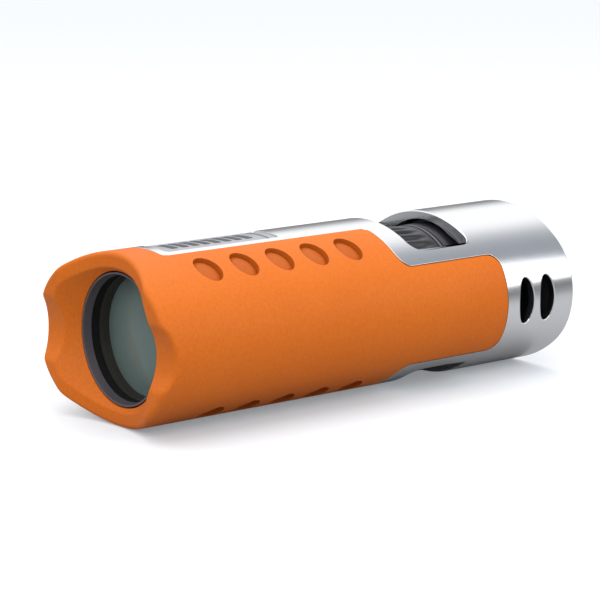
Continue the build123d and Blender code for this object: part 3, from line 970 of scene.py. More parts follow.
FINISHES = (
    Finish("orange soft-touch rubber", "orange_rubber", (0.77, 0.182, 0.014), (0.62, 0.122, 0.008),
           0.50, grain_size=4200.0, grain_depth=0.012, speckle=0.5, ior=1.28, spill=0.55),
    # Painted shade: a darker orange for the dimples' walls and floors, standing in for the shade inside these
    # pockets.
    Finish("orange rubber with painted dimple shade", "orange_rubber", (0.56, 0.118, 0.008), (0.44, 0.080, 0.005),
           0.50, grain_size=4200.0, grain_depth=0.012, speckle=0.5, ior=1.28, spill=0.55),
    Finish("satin silver plating", "silver_shell", (0.86, 0.865, 0.88), (0.80, 0.81, 0.83),
           0.17, metallic=1.0, grain_size=9000.0, grain_depth=0.0006, speckle=0.4, smudge=0.03, dust=0.0),
    Finish("grey enamelled plate", "grey_plate", (0.44, 0.455, 0.49), (0.38, 0.39, 0.42),
           0.34, metallic=0.6, grain_size=7000.0, grain_depth=0.002, speckle=0.5),
    Finish("dark marking enamel", "grey_plate", (0.05, 0.052, 0.06), (0.035, 0.036, 0.04),
           0.4, metallic=0.2, grain_size=7000.0, grain_depth=0.002, speckle=0.5),
    Finish("black satin plastic", "black_plastic", (0.018, 0.018, 0.020), (0.012, 0.012, 0.013),
           0.34, grain_size=6000.0, grain_depth=0.003, speckle=0.5),
    Finish("black anodised metal", "black_anodised", (0.150, 0.140, 0.162), (0.105, 0.098, 0.115),
           0.36, metallic=0.5, grain_size=8000.0, grain_depth=0.002, speckle=0.5),
    Finish("matt optical black", "black_anodised", (0.014, 0.014, 0.015), (0.008, 0.008, 0.009),
           0.85, grain_size=6000.0, grain_depth=0.004, speckle=0.5, ior=1.2),
    Finish("olive black lacquer", "black_anodised", (0.030, 0.027, 0.022), (0.018, 0.016, 0.014),
           0.42, grain_size=6000.0, grain_depth=0.003, speckle=0.5),
    Finish("black wheel rubber", "black_rubber", (0.016, 0.016, 0.018), (0.010, 0.010, 0.011),
           0.30, grain_size=5200.0, grain_depth=0.005, speckle=0.5),
    Finish("brushed spring steel", "spring_steel", (0.58, 0.58, 0.59), (0.45, 0.45, 0.46),
           0.30, metallic=1.0, grain_size=3800.0, grain_depth=0.002, speckle=0.6),
    Finish("turned screw steel", "screw_steel", (0.52, 0.52, 0.53), (0.40, 0.40, 0.41),
           0.34, metallic=1.0, grain_size=5200.0, grain_depth=0.002, speckle=0.6),
    Finish("white washer nylon", "washer_nylon", (0.80, 0.79, 0.75), (0.72, 0.71, 0.67),
           0.5, grain_size=4600.0, grain_depth=0.004, speckle=0.4),
    # Painted reflection in part: the objective glass passes only 0.55 of the light and shows the rest as a
    # diffuse green-grey veil that stands in for the coating's reflected sheen.
    Glass("coated objective glass", "coated_glass", (0.32, 0.43, 0.40), (0.26, 0.38, 0.35), ior=1.45,
          clear=0.55),
    Glass("coated eyepiece glass", "eyepiece_glass", (0.90, 0.92, 0.94), (0.80, 0.86, 1.0), ior=1.65),
    Glass("prism glass", "prism_glass", (0.94, 0.96, 0.95), (1.0, 1.0, 1.0), ior=1.57),
)


class Wardrobe:
    """Every finish, made once and handed to the pieces by name."""

    def __init__(self) -> None:
        """Make all the materials."""
        palette = Palette()
        self.finishes = {finish.name: finish for finish in FINISHES}
        self.materials = {finish.name: finish.make(palette) for finish in FINISHES}

    def dress(self, piece: bpy.types.Object, finish: str) -> None:
        """Give a piece one finish all over.

        Args:
            piece: the object to dress.
            finish: name of the finish.
        """
        piece.data.materials.clear()
        piece.data.materials.append(self.materials[finish])

    def inlay(self, piece: bpy.types.Object, finish: str, where: Callable[[Vector], bool]) -> None:
        """Give some faces of a dressed piece a second finish.

        Args:
            piece: the dressed object.
            finish: name of the second finish.
            where: test on the middle of a face, in millimetres about the axis.
        """
        piece.data.materials.append(self.materials[finish])
        for face in piece.data.polygons:
            if where(gauge(face.center)):
                face.material_index = len(piece.data.materials) - 1

    def mount(self, piece: bpy.types.Object, finish: str, body: Body, *nodes: str) -> None:
        """Dress a new piece, let it ride on its body and stand for its CAD nodes.

        Args:
            piece: the new piece.
            finish: name of the finish.
            body: the body that it moves with.
            nodes: CAD nodes that it stands for.
        """
        self.dress(piece, finish)
        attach(piece, body.value)
        if nodes:
            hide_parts(*nodes)
        log.info("%s: %d faces, %s", piece.name, len(piece.data.polygons), finish)


# --- sub-assemblies -----------------------------------------------------------------------
@dataclass
class GripSleeve:
    """Orange rubber sleeve with its scalloped hood and four rows of finger dimples."""

    region: SleeveRegion = field(default_factory=SleeveRegion)
    thickness: float = 1.2
    lip_end: float = 5.7
    mouth_radius: float = 15.5
    mouth_end: float = 4.3
    well_radius: float = 12.1
    crown_notch_depth: float = 3.5
    crown_notch_radius: float = 26.0
    side_notch_depth: float = 2.0
    side_notch_radius: float = 9.1
    shoulder: float = 0.45
    ridge: float = 0.22
    rim_round: float = 0.9
    rim_steps: int = 6
    skin_step: float = 6.0
    hood_end: float = 13.0
    dimple_start: float = 15.4
    dimple_pitch: float = 7.87
    dimple_count: int = 5
    dimple_x: float = 10.8
    dimple_length: float = 4.9
    dimple_reach: float = 7.0
    dimple_depth: float = 1.08
    dimple_dome: float = 0.62
    dimple_wall: float = 0.72
    dimple_lip: float = 1.06
    shares_to_rim: tuple[float, ...] = (0.3, 0.6, 0.85, 1.0)
    shares_to_ridge: tuple[float, ...] = (0.12, 0.25, 0.4, 0.55, 0.7, 0.82, 0.92, 1.0)
    shares_to_well: tuple[float, ...] = (0.08, 0.18, 0.34, 0.56, 0.78, 1.0)
    dome_rings: tuple[tuple[float, float], ...] = (
        (0.93, 0.0), (0.84, 0.22), (0.78, 0.40), (0.66, 0.62), (0.5, 0.8), (0.3, 0.94))

    def build(self, wardrobe: Wardrobe) -> None:
        """Model the sleeve and dress it.

        Args:
            wardrobe: the finishes.
        """
        sleeve = self.blank()
        combine(sleeve, self.region.block("sleeve_region", 0.0), Cut.KEEP)
        combine(sleeve, OVAL.bar("sleeve_core", self.lip_end, LENGTH, self.thickness), Cut.REMOVE)
        combine(sleeve, self.dimples(), Cut.REMOVE)
        smooth(sleeve)
        follow_skin(sleeve)
        wardrobe.mount(sleeve, "orange soft-touch rubber", Body.HOUSING, "grip_sleeve")
        # The dimples' walls and floors take the darker orange of painted shade.
        wardrobe.inlay(sleeve, "orange rubber with painted dimple shade", self.in_dimple)

    def in_dimple(self, place: Vector) -> bool:
        """Whether a place lies on the wall or floor of a dimple."""
        in_rows = self.dimple_start - self.dimple_pitch / 2 < place.y < self.region.wrap_end - 3
        beside_strip = abs(place.x) > self.region.strip_half + 1
        return in_rows and beside_strip and 0.1 < OVAL.depth(place) < self.thickness - 0.05

    def blank(self) -> bpy.types.Object:
        """Closed blank, drawn out ring by ring: skin, rounded rim, scallops, flare and lens well."""
        back = self.region.tongue_end + 1
        pen = OVAL.draw("grip_sleeve_moulding", back)
        rows = int((back - self.hood_end) / self.skin_step)
        for row in range(1, rows + 1):
            station = back + (self.hood_end - back) * row / rows
            pen.ring(lambda index, place: Vector((place.x, station, place.z)))
        for share in self.shares_to_rim:
            pen.ring(lambda index, place: self.towards_rim(place, share))
        for step in range(1, self.rim_steps + 1):
            before, after = (math.radians(90 * k / self.rim_steps) for k in (step - 1, step))
            sink = self.rim_round * (math.cos(before) - math.cos(after))
            lag = self.rim_round * (1 - math.sin(after))
            pen.ring(lambda index, place: self.on_rim(place - OVAL.normal(place) * sink, lag))
        edges = [math.hypot(place.x, place.z) for place in pen.corners()]
        ridges = [self.ridge_radius(place) for place in pen.corners()]
        for share in self.shares_to_ridge:
            pen.ring(lambda index, place: self.at_radius(place, edges[index], ridges[index], share))
        wells = [self.well_radius] * len(edges)
        for share in self.shares_to_well:
            pen.ring(lambda index, place: self.at_radius(place, ridges[index], wells[index], share))
        pen.ring(lambda index, place: Vector((place.x, self.lip_end + 1, place.z)))
        bpy.ops.mesh.select_all(action="SELECT")
        bpy.ops.mesh.fill_holes(sides=0)
        bpy.ops.mesh.normals_make_consistent(inside=False)
        close_mesh()
        return pen.piece

    def scallops(self, place: Vector) -> float:
        """Station of the rim's front face beside a place, before the flare is cut.

        Args:
            place: a place in millimetres about the axis.

        Returns:
            0 on the lands, more in the scallops.
        """
        crown = hollow(place.x, self.crown_notch_radius, self.crown_notch_depth)
        side = hollow(place.z, self.side_notch_radius, self.side_notch_depth)
        return blend_up(blend_up(0.0, crown, self.shoulder), side, self.shoulder)

    def flare(self, radius: float) -> float:
        """Station of the mouth's cone at a radius."""
        return (self.mouth_radius - radius) * self.mouth_end / (self.mouth_radius - self.well_radius)

    def front(self, place: Vector) -> float:
        """Station of the hood's front surface beside a place."""
        return blend_up(self.scallops(place), self.flare(math.hypot(place.x, place.z)), self.ridge)

    def towards_rim(self, place: Vector, share: float) -> Vector:
        """Place on the skin, part of the way from the plain skin to the rounding of the rim."""
        rim = self.front(place - OVAL.normal(place) * self.rim_round / 2) + self.rim_round
        return Vector((place.x, self.hood_end + (rim - self.hood_end) * share, place.z))

    def on_rim(self, place: Vector, lag: float) -> Vector:
        """Place on the rounding of the rim, a little behind the front surface."""
        return Vector((place.x, self.front(place) + lag, place.z))

    def at_radius(self, place: Vector, start: float, end: float, share: float) -> Vector:
        """Place on the front surface, part of the way between two radii.

        Args:
            place: where the corner is now, which gives its bearing.
            start: radius at a share of 0.
            end: radius at a share of 1.
            share: part of the way.

        Returns:
            The new place.
        """
        radius = start + (end - start) * share
        scale = radius / math.hypot(place.x, place.z)
        moved = Vector((place.x * scale, 0, place.z * scale))
        moved.y = self.front(moved)
        return moved

    def ridge_radius(self, place: Vector) -> float:
        """Radius on a place's bearing at which the flare meets the scalloped front face.

        Args:
            place: a place in millimetres that gives the bearing.

        Returns:
            The radius in millimetres.
        """
        low, high = self.well_radius, math.hypot(place.x, place.z)
        for _ in range(24):
            middle = (low + high) / 2
            scale = middle / math.hypot(place.x, place.z)
            if self.flare(middle) > self.scallops(place * scale):
                low = middle
            else:
                high = middle
        return min(low, math.hypot(place.x, place.z) - 0.05)

    def dimples(self) -> bpy.types.Object:
        """Tool of the twenty finger dimples, oval pockets with a swelling floor."""
        first = self.dimple()
        tools = []
        for side in (1, -1):
            for crown in (1, -1):
                for index in range(self.dimple_count):
                    shift = Matrix.Translation((0, self.dimple_start + index * self.dimple_pitch, 0))
                    flip = Matrix.Diagonal((side, 1, crown, 1))
                    tools.append(copy_of(first, f"dimple_{len(tools)}", shift @ flip))
        bpy.data.objects.remove(first)
        tool = join_all("dimples", tools)
        tidy_mesh(tool)
        return tool

    def dimple(self) -> bpy.types.Object:
        """Tool of one dimple at y = 0, on the upper crown of the +x side."""
        clear_selection()
        bpy.ops.mesh.primitive_circle_add(vertices=48, radius=MM / 2, fill_type="NGON")
        tool = bpy.context.object
        bpy.ops.object.mode_set(mode="EDIT")
        bpy.ops.mesh.select_mode(type="FACE")
        bpy.ops.mesh.select_all(action="SELECT")
        bpy.ops.transform.resize(value=(self.dimple_reach, self.dimple_length, 1))
        bpy.ops.transform.translate(value=(0, 0, -self.dimple_depth * MM))
        for share, rise in self.dome_rings:
            lift = self.dimple_dome * rise * MM
            bpy.ops.mesh.inset(thickness=0.0)
            self.match_ring(tool, share, lift - self.dimple_depth * MM)
        bpy.ops.mesh.merge(type="CENTER")
        mesh = bmesh.from_edit_mesh(tool.data)
        for corner in mesh.verts:
            if corner.select:
                corner.co.z = (self.dimple_dome - self.dimple_depth) * MM
        bpy.ops.mesh.select_all(action="DESELECT")
        for edge in mesh.edges:
            edge.select_set(edge.is_boundary)
        bmesh.update_edit_mesh(tool.data)
        for part in (self.dimple_wall, 1 - self.dimple_wall):
            rise = (0, 0, self.dimple_depth * MM * part)
            bpy.ops.mesh.extrude_region_move(TRANSFORM_OT_translate={"value": rise})
        bpy.ops.transform.resize(value=(self.dimple_lip, self.dimple_lip, 1))
        bpy.ops.mesh.extrude_region_move(TRANSFORM_OT_translate={"value": (0, 0, 2 * MM)})
        bpy.ops.mesh.edge_face_add()
        bpy.ops.mesh.select_all(action="SELECT")
        bpy.ops.mesh.normals_make_consistent(inside=False)
        close_mesh()
        height = OVAL.crown_height(self.dimple_x)
        tilt = math.asin(self.dimple_x / OVAL.crown_radius)
        tool.data.transform(Matrix.Translation(spot((self.dimple_x, 0, height))) @ Matrix.Rotation(tilt, 4, "Y"))
        return tool

    def match_ring(self, tool: bpy.types.Object, share: float, height: float) -> None:
        """Set the ring that is selected to a share of the dimple's outline, at a height.

        Args:
            tool: the dimple tool in edit mode.
            share: size beside the outline.
            height: height in metres.
        """
        mesh = bmesh.from_edit_mesh(tool.data)
        corners = [corner for corner in mesh.verts if corner.select]
        widest = max(abs(corner.co.x) for corner in corners)
        scale = share * self.dimple_reach / 2 * MM / widest
        bpy.ops.transform.resize(value=(scale, scale, 1), center_override=(0, 0, 0))
        bpy.ops.transform.translate(value=(0, 0, height - corners[0].co.z))


@dataclass
class BodyShell:
    """Silver oval shell with the wheel's windows, the strap slots and the sleeve's bed."""

    region: SleeveRegion = field(default_factory=SleeveRegion)
    plate: PlateOutline = field(default_factory=PlateOutline)
    start: float = 5.8
    bed_depth: float = 1.2
    bed_gap: float = 0.16
    front_wall: float = 2.3
    rear_wall: float = 1.6
    rear_wall_start: float = 80.0
    well_radius: float = 14.0
    well_start: float = 59.6
    window_mid: float = 67.5
    window_length: float = 14.0
    window_half: float = 13.5
    window_corner: float = 2.2
    slot_stations: tuple[float, ...] = (83.4, 88.7)
    slot_width: float = 3.65
    slot_height: float = 8.7
    plate_bed: float = 0.55
    rim_bevel: float = 0.35
    opening_bevel: float = 0.28
    bed_bevel: float = 0.12

    def build(self, wardrobe: Wardrobe) -> None:
        """Model the shell and dress it.

        Args:
            wardrobe: the finishes.
        """
        shell = OVAL.bar("shell_casting", self.start, LENGTH)
        combine(shell, OVAL.bar("front_core", self.start - 1, self.rear_wall_start, self.front_wall), Cut.REMOVE)
        combine(shell, OVAL.bar("rear_core", self.rear_wall_start - 1, LENGTH + 1, self.rear_wall), Cut.REMOVE)
        profile = ((0, self.well_start), (self.well_radius, self.well_start),
                   (self.well_radius, self.rear_wall_start), (0, self.rear_wall_start))
        combine(shell, lathe("wheel_well", profile), Cut.REMOVE)
        combine(shell, self.bed("sleeve_bed"), Cut.REMOVE)
        combine(shell, self.plate_pocket(), Cut.REMOVE)
        combine(shell, self.window(), Cut.REMOVE)
        for station in self.slot_stations:
            combine(shell, self.slot(station), Cut.REMOVE)
        tidy_mesh(shell)
        self.soften(shell)
        tidy_mesh(shell)
        smooth(shell)
        follow_skin(shell)
        wardrobe.mount(shell, "satin silver plating", Body.HOUSING, "body_shell")

    def bed(self, name: str) -> bpy.types.Object:
        """Tool of the bed that the sleeve lies in."""
        skin = OVAL.bar(name, -REACH / 2, LENGTH - 2, -1.0)
        combine(skin, OVAL.bar(f"{name}_core", -REACH, LENGTH, self.bed_depth), Cut.REMOVE)
        combine(skin, self.region.block(f"{name}_region", self.bed_gap), Cut.KEEP)
        return skin

    def plate_pocket(self) -> bpy.types.Object:
        """Tool of the shallow pocket for the name plate."""
        pocket = self.plate.column("plate_pocket")
        combine(pocket, OVAL.bar("plate_floor", 0, LENGTH, self.plate_bed), Cut.REMOVE)
        return pocket

    def window(self) -> bpy.types.Object:
        """Tool of the two windows, straight through from top to bottom."""
        front = self.window_mid - self.window_length / 2
        back = front + self.window_length
        half = self.window_half
        plan = Pen("window", (-half, front, -REACH)).line(
            (half, front, -REACH), (half, back, -REACH), (-half, back, -REACH), (-half, front, -REACH))
        plan.weld().round(self.window_corner, 10, lambda place: True)
        return plan.pull((0, 0, 2 * REACH))

    def slot(self, station: float) -> bpy.types.Object:
        """Oval tool of one strap slot in the +x wall.

        Args:
            station: middle of the slot along the body.

        Returns:
            The closed tool.
        """
        start = HALF_WIDTH - 6
        outline = Pen("slot", (start, station, self.slot_width / 2))
        outline.arc((start, station, 0), 360, 72, axis=(1, 0, 0)).weld()
        bpy.ops.mesh.select_all(action="SELECT")
        bpy.ops.transform.resize(value=(1, 1, self.slot_height / self.slot_width),
                                 center_override=spot((start, station, 0)))
        return outline.pull((12, 0, 0))

    def soften(self, shell: bpy.types.Object) -> None:
        """Round the edges that catch the light.

        Args:
            shell: the shell so far.
        """
        def on_skin(place: Vector) -> bool:
            """On the body's skin."""
            return abs(OVAL.depth(place)) < 0.04

        def at_window(place: Vector) -> bool:
            """Outer edge of a window."""
            return on_skin(place) and abs(place.y - self.window_mid) < 8 and abs(place.z) > 9.5

        def at_slot(place: Vector) -> bool:
            """Outer edge of a slot."""
            return on_skin(place) and 81 < place.y < 91 and place.x > 10

        def at_rear(place: Vector) -> bool:
            """Rear rim."""
            return place.y > LENGTH - 0.05

        def at_bed(place: Vector) -> bool:
            """Lip along the sleeve's bed."""
            return on_skin(place) and 8 < place.y < 79.5 and not at_window(place)

        log.info("rear rim %d", bevel_edges(shell, self.rim_bevel, 3, 40, at_rear))
        log.info("windows %d", bevel_edges(shell, self.opening_bevel, 3, 35, at_window))
        log.info("slots %d", bevel_edges(shell, self.opening_bevel, 3, 35, at_slot))
        log.info("bed lip %d", bevel_edges(shell, self.bed_bevel, 2, 40, at_bed))


@dataclass
class NamePlate:
    """Grey plate in the upper strip, with a row of plain bars in place of any name."""

    outline: PlateOutline = field(default_factory=PlateOutline)
    sink: float = 0.2
    bed: float = 0.55
    gap: float = 0.06
    bar_count: int = 8
    bar_pitch: float = 2.35
    bar_start: float = 13.6
    bar_length: float = 1.5
    bar_half: float = 2.0
    bar_rise: float = 0.05

    def build(self, wardrobe: Wardrobe) -> None:
        """Model the plate and its bars.

        Args:
            wardrobe: the finishes.
        """
        plate = self.slab("name_plate_blank", self.outline.column("plate_plan", self.gap), self.sink)
        bevel_edges(plate, 0.12, 2, 40, lambda place: OVAL.depth(place) < self.sink + 0.02)
        smooth(plate)
        wardrobe.mount(plate, "grey enamelled plate", Body.HOUSING, "name_plate")
        bars = [self.bar(index) for index in range(self.bar_count)] + [self.end_line()]
        marks = join_all("name_plate_bars", bars)
        bevel_edges(marks, 0.02, 1, 40, lambda place: OVAL.depth(place) < self.sink)
        smooth(marks)
        wardrobe.mount(marks, "dark marking enamel", Body.HOUSING)

    def slab(self, name: str, column: bpy.types.Object, top: float) -> bpy.types.Object:
        """Part of an upright prism between the pocket's floor and a depth.

        Args:
            name: name of the piece.
            column: the prism, used up.
            top: depth of the slab's upper face under the skin.

        Returns:
            The closed slab.
        """
        slab = OVAL.bar(name, self.outline.start - 3, self.outline.end + 3, top)
        combine(slab, OVAL.bar(f"{name}_floor", 0, LENGTH, self.bed), Cut.REMOVE)
        combine(slab, column, Cut.KEEP)
        return slab

    def bar(self, index: int) -> bpy.types.Object:
        """One slanted bar of the row.

        Args:
            index: which bar, from the front.

        Returns:
            The bar.
        """
        start = self.bar_start + index * self.bar_pitch
        slant = self.bar_length * 0.35
        column = Pen("bar_plan", (-self.bar_half, start, 0)).line(
            (self.bar_half, start + slant, 0), (self.bar_half, start + slant + self.bar_length, 0),
            (-self.bar_half, start + self.bar_length, 0), (-self.bar_half, start, 0))
        column.weld().round(0.3, 3, lambda place: True)
        return self.slab(f"bar_{index}", column.pull((0, 0, REACH)), self.sink - self.bar_rise)

    def end_line(self) -> bpy.types.Object:
        """Thin line across the plate's rear end."""
        half, y = self.outline.half - 0.5, self.outline.end - 2.2
        column = Pen("line_plan", (-half, y, 0)).line(
            (half, y, 0), (half, y + 0.3, 0), (-half, y + 0.3, 0), (-half, y, 0)).weld()
        return self.slab("end_line", column.pull((0, 0, REACH)), self.sink - self.bar_rise)


@dataclass
class Objective:
    """What shows down the hood: retaining ring, lens seat and the coated front lens."""

    ring_radius: float = 11.85
    ring_front_bore: float = 11.5
    ring_bore: float = 11.2
    ring_front: float = 4.25
    ring_step: float = 5.9
    ring_back: float = 7.5
    cell_radius: float = 12.5
    cell_lip: float = 12.0
    cell_bore: float = 11.6
    cell_start: float = 5.8
    cell_end: float = 30.0
    seat_radius: float = 11.15
    glass_radius: float = 11.5
    glass_edge: float = 9.6
    glass_curve: float = 48.0
    glass_back: float = 15.2
    rear_curve: float = 140.0

    def build(self, wardrobe: Wardrobe) -> None:
        """Model the ring, the seat and the lens.

        Args:
            wardrobe: the finishes.
        """
        rim, bore, step = self.ring_radius, self.ring_bore, self.ring_step
        profile = ((self.ring_front_bore, self.ring_front), (rim, self.ring_front), (rim, step), (bore, step))
        ring = lathe("objective_retaining_ring", profile, soft=0.07)
        smooth(ring)
        wardrobe.mount(ring, "black anodised metal", Body.HOUSING, "objective_ring")
        profile = ((bore, step), (rim, step), (rim, self.ring_back), (bore, self.ring_back))
        thread = lathe("objective_ring_bore", profile)
        smooth(thread)
        wardrobe.mount(thread, "matt optical black", Body.HOUSING)
        wall, lip, start, end = self.cell_radius, self.cell_lip, self.cell_start, self.cell_end
        profile = ((lip, start), (wall, start), (wall, end), (self.cell_bore, end), (self.cell_bore, 9.4),
                   (10.8, 9.4), (10.88, 8.5), (11.02, 8.5), (self.seat_radius, 7.55), (lip, 7.55))
        cell = lathe("objective_lens_cell", profile)
        smooth(cell)
        wardrobe.mount(cell, "olive black lacquer", Body.HOUSING, "objective_cell")
        lens = self.doublet()
        smooth(lens)
        wardrobe.mount(lens, "coated objective glass", Body.HOUSING,
                       "objective_crown_lens", "objective_flint_lens")

    def doublet(self) -> bpy.types.Object:
        """Cemented objective: a turned half section, domed in front and nearly flat behind."""
        pen = Pen("objective_glass", (0, self.vertex(self.glass_edge, self.glass_curve), 0))
        pen.arc((0, self.vertex(self.glass_edge, self.glass_curve) + self.glass_curve, 0),
                -self.sweep(self.glass_curve), 24, axis=(0, 0, 1))
        pen.line((self.glass_radius, self.glass_back, 0))
        centre = self.glass_back - math.sqrt(self.rear_curve ** 2 - self.glass_radius ** 2)
        pen.arc((0, centre, 0), -self.sweep(self.rear_curve), 12, axis=(0, 0, 1))
        return pen.turn(144)

    def vertex(self, edge: float, curve: float) -> float:
        """Station of a face's vertex, from its edge's station and its curve."""
        return edge - curve + math.sqrt(curve ** 2 - self.glass_radius ** 2)

    def sweep(self, curve: float) -> float:
        """Degrees from a face's vertex to its edge."""
        return math.degrees(math.asin(self.glass_radius / curve))


@dataclass
class FocusWheel:
    """Fluted rubber tread on its core, with a thin metal line and a smooth collar behind."""

    start: float = 60.2
    grip_start: float = 60.8
    grip_end: float = 71.6
    crest: float = 13.45
    shoulder: float = 13.3
    shoulder_start: float = 65.0
    rear_radius: float = 12.85
    flutes: int = 36
    flute_depth: float = 0.62
    flute_steps: int = 10
    flute_shape: float = 1.5
    rows: int = 16
    edge: float = 0.16
    edge_shares: tuple[float, ...] = (0.15, 0.4, 0.7, 1.0)
    fade_start: float = 67.0
    fade_end: float = 71.4
    lip: float = 12.9
    trim_seat: float = 12.6
    trim_radius: float = 13.0
    trim_start: float = 71.75
    trim_end: float = 72.3
    collar_start: float = 72.6
    collar_radius: float = 13.0
    collar_end: tuple[float, float] = (13.2, 75.4)
    end: float = 76.8
    bore: float = 11.1
    core: float = 12.4

    def build(self, wardrobe: Wardrobe) -> None:
        """Model the tread, the core with its collar, and the trim line.

        Args:
            wardrobe: the finishes.
        """
        tread = self.tread()
        smooth(tread, 50)
        wardrobe.mount(tread, "black wheel rubber", Body.WHEEL, "focus_ring_grip")
        rear = self.collar_end[0]
        profile = ((self.bore, self.start), (self.lip, self.start), (self.lip, self.grip_start),
                   (self.core, self.grip_start), (self.core, self.grip_end), (self.trim_seat, self.grip_end),
                   (self.trim_seat, self.collar_start), (self.collar_radius, self.collar_start),
                   self.collar_end, (rear, self.end), (self.bore, self.end))
        core = lathe("focus_wheel_core", profile, soft=0.12, soften=lambda place: place.x > self.lip + 0.05)
        smooth(core)
        wardrobe.mount(core, "black satin plastic", Body.WHEEL, "focus_ring_core")
        profile = ((self.trim_seat, self.trim_start), (self.trim_radius, self.trim_start),
                   (self.trim_radius, self.trim_end), (self.trim_seat, self.trim_end))
        line = lathe("focus_wheel_trim_line", profile, soft=0.08)
        smooth(line)
        wardrobe.mount(line, "black anodised metal", Body.WHEEL, "focus_trim_ring")

    def tread(self) -> bpy.types.Object:
        """Tread laid ring by ring: flutes full deep at the front, gone before the rear edge.

        Returns:
            The tread, closed down to the core.
        """
        pen = Pen("focus_wheel_tread", (self.core, self.grip_start, 0))
        pen.arc((0, self.grip_start, 0), 360, self.flutes * self.flute_steps)
        pen.weld()
        pen.ring(lambda index, place: self.tread_point(place, self.grip_start))
        length = self.grip_end - self.grip_start
        front = [self.edge * share for share in self.edge_shares]
        middle = [length * row / self.rows for row in range(1, self.rows)]
        stations = front + middle + [length - gap for gap in (*front[::-1], 0.0)]
        for station in stations:
            pen.ring(lambda index, place, at=self.grip_start + station: self.tread_point(place, at))
        pen.ring(lambda index, place: self.on_core(place))
        bpy.ops.mesh.select_all(action="DESELECT")
        bpy.ops.mesh.select_non_manifold(extend=False, use_wire=False, use_multi_face=False,
                                         use_non_contiguous=False, use_verts=False)
        bpy.ops.mesh.bridge_edge_loops()
        bpy.ops.mesh.select_all(action="SELECT")
        bpy.ops.mesh.normals_make_consistent(inside=False)
        close_mesh()
        return pen.piece

    def tread_point(self, place: Vector, station: float) -> Vector:
        """Point of the tread at a bearing and a station.

        Args:
            place: a point in millimetres that gives the bearing.
            station: how far along the axis, in millimetres.

        Returns:
            The point in millimetres.
        """
        turn = bearing(place)
        if station < self.shoulder_start:
            share = (station - self.grip_start) / (self.shoulder_start - self.grip_start)
            top = self.crest + (self.shoulder - self.crest) * share
        else:
            share = (station - self.shoulder_start) / (self.grip_end - self.shoulder_start)
            top = self.shoulder + (self.rear_radius - self.shoulder) * share
        fade = 1 - blend_share(station, self.fade_start, self.fade_end)
        wave = 0.5 - 0.5 * math.cos(turn * self.flutes)
        from_end = min(station - self.grip_start, self.grip_end - station, self.edge)
        rolled = self.edge - math.sqrt(self.edge ** 2 - (self.edge - from_end) ** 2)
        radius = top - rolled - self.flute_depth * fade * wave ** self.flute_shape
        return Vector((math.cos(turn) * radius, station, math.sin(turn) * radius))

    def on_core(self, place: Vector) -> Vector:
        """Same bearing, down on the core at the tread's rear edge."""
        turn = bearing(place)
        return Vector((math.cos(turn) * self.core, self.grip_end, math.sin(turn) * self.core))


@dataclass
class Rear:
    """Stop ring behind the wheel, rear cap, eyecup and the ring round the eye lens."""

    cap_start: float = 90.7
    cap_end: float = 91.9
    cap_bore: float = 10.1
    cap_inset: float = 1.65
    stop_bore: float = 11.05
    stop_radius: float = 13.7
    stop_start: float = 77.1
    stop_end: float = 79.4
    cup_radius: float = 12.0
    cup_bore: float = 9.6
    cup_seat: float = 8.9
    cup_start: float = 92.7
    cup_end: float = 95.4
    seat_end: float = 94.45
    ring_bore: float = 7.5
    ring_radius: float = 8.68
    ring_start: float = 89.4
    ring_end: float = 92.6
    ring_mouth: float = 8.2

    def build(self, wardrobe: Wardrobe) -> None:
        """Model the rear pieces.

        Args:
            wardrobe: the finishes.
        """
        profile = ((self.stop_bore, self.stop_start), (self.stop_radius, self.stop_start),
                   (self.stop_radius, self.stop_end), (self.stop_bore, self.stop_end))
        stop = lathe("wheel_stop_ring", profile, soft=0.12)
        smooth(stop)
        wardrobe.mount(stop, "black anodised metal", Body.HOUSING, "focus_stop_ring")
        cap = OVAL.bar("rear_cap_plate", self.cap_start, self.cap_end, self.cap_inset)
        profile = ((0, 85), (self.cap_bore, 85), (self.cap_bore, 95), (0, 95))
        bore = lathe("cap_bore", profile)
        combine(cap, bore, Cut.REMOVE)
        tidy_mesh(cap)
        bevel_edges(cap, 0.2, 3, 40, lambda place: place.y > self.cap_end - 0.02)
        smooth(cap)
        wardrobe.mount(cap, "black satin plastic", Body.HOUSING, "rear_cap")
        profile = ((self.cup_bore, self.cup_start), (self.cup_radius, self.cup_start),
                   (self.cup_radius, self.cup_end), (self.cup_bore, self.cup_end),
                   (self.cup_seat, self.seat_end), (self.cup_bore, self.seat_end))
        cup = lathe("eyecup_rubber", profile, soft=0.25, soften=lambda place: place.x > self.cup_bore - 0.05)
        smooth(cup)
        wardrobe.mount(cup, "black wheel rubber", Body.EYEPIECE, "eyecup")
        profile = ((self.ring_bore, self.ring_start), (self.ring_radius, self.ring_start),
                   (self.ring_radius, self.ring_end), (self.ring_mouth, self.ring_end))
        ring = lathe("eye_lens_ring", profile, soft=0.08)
        smooth(ring)
        wardrobe.mount(ring, "black anodised metal", Body.EYEPIECE, "eyepiece_ring")


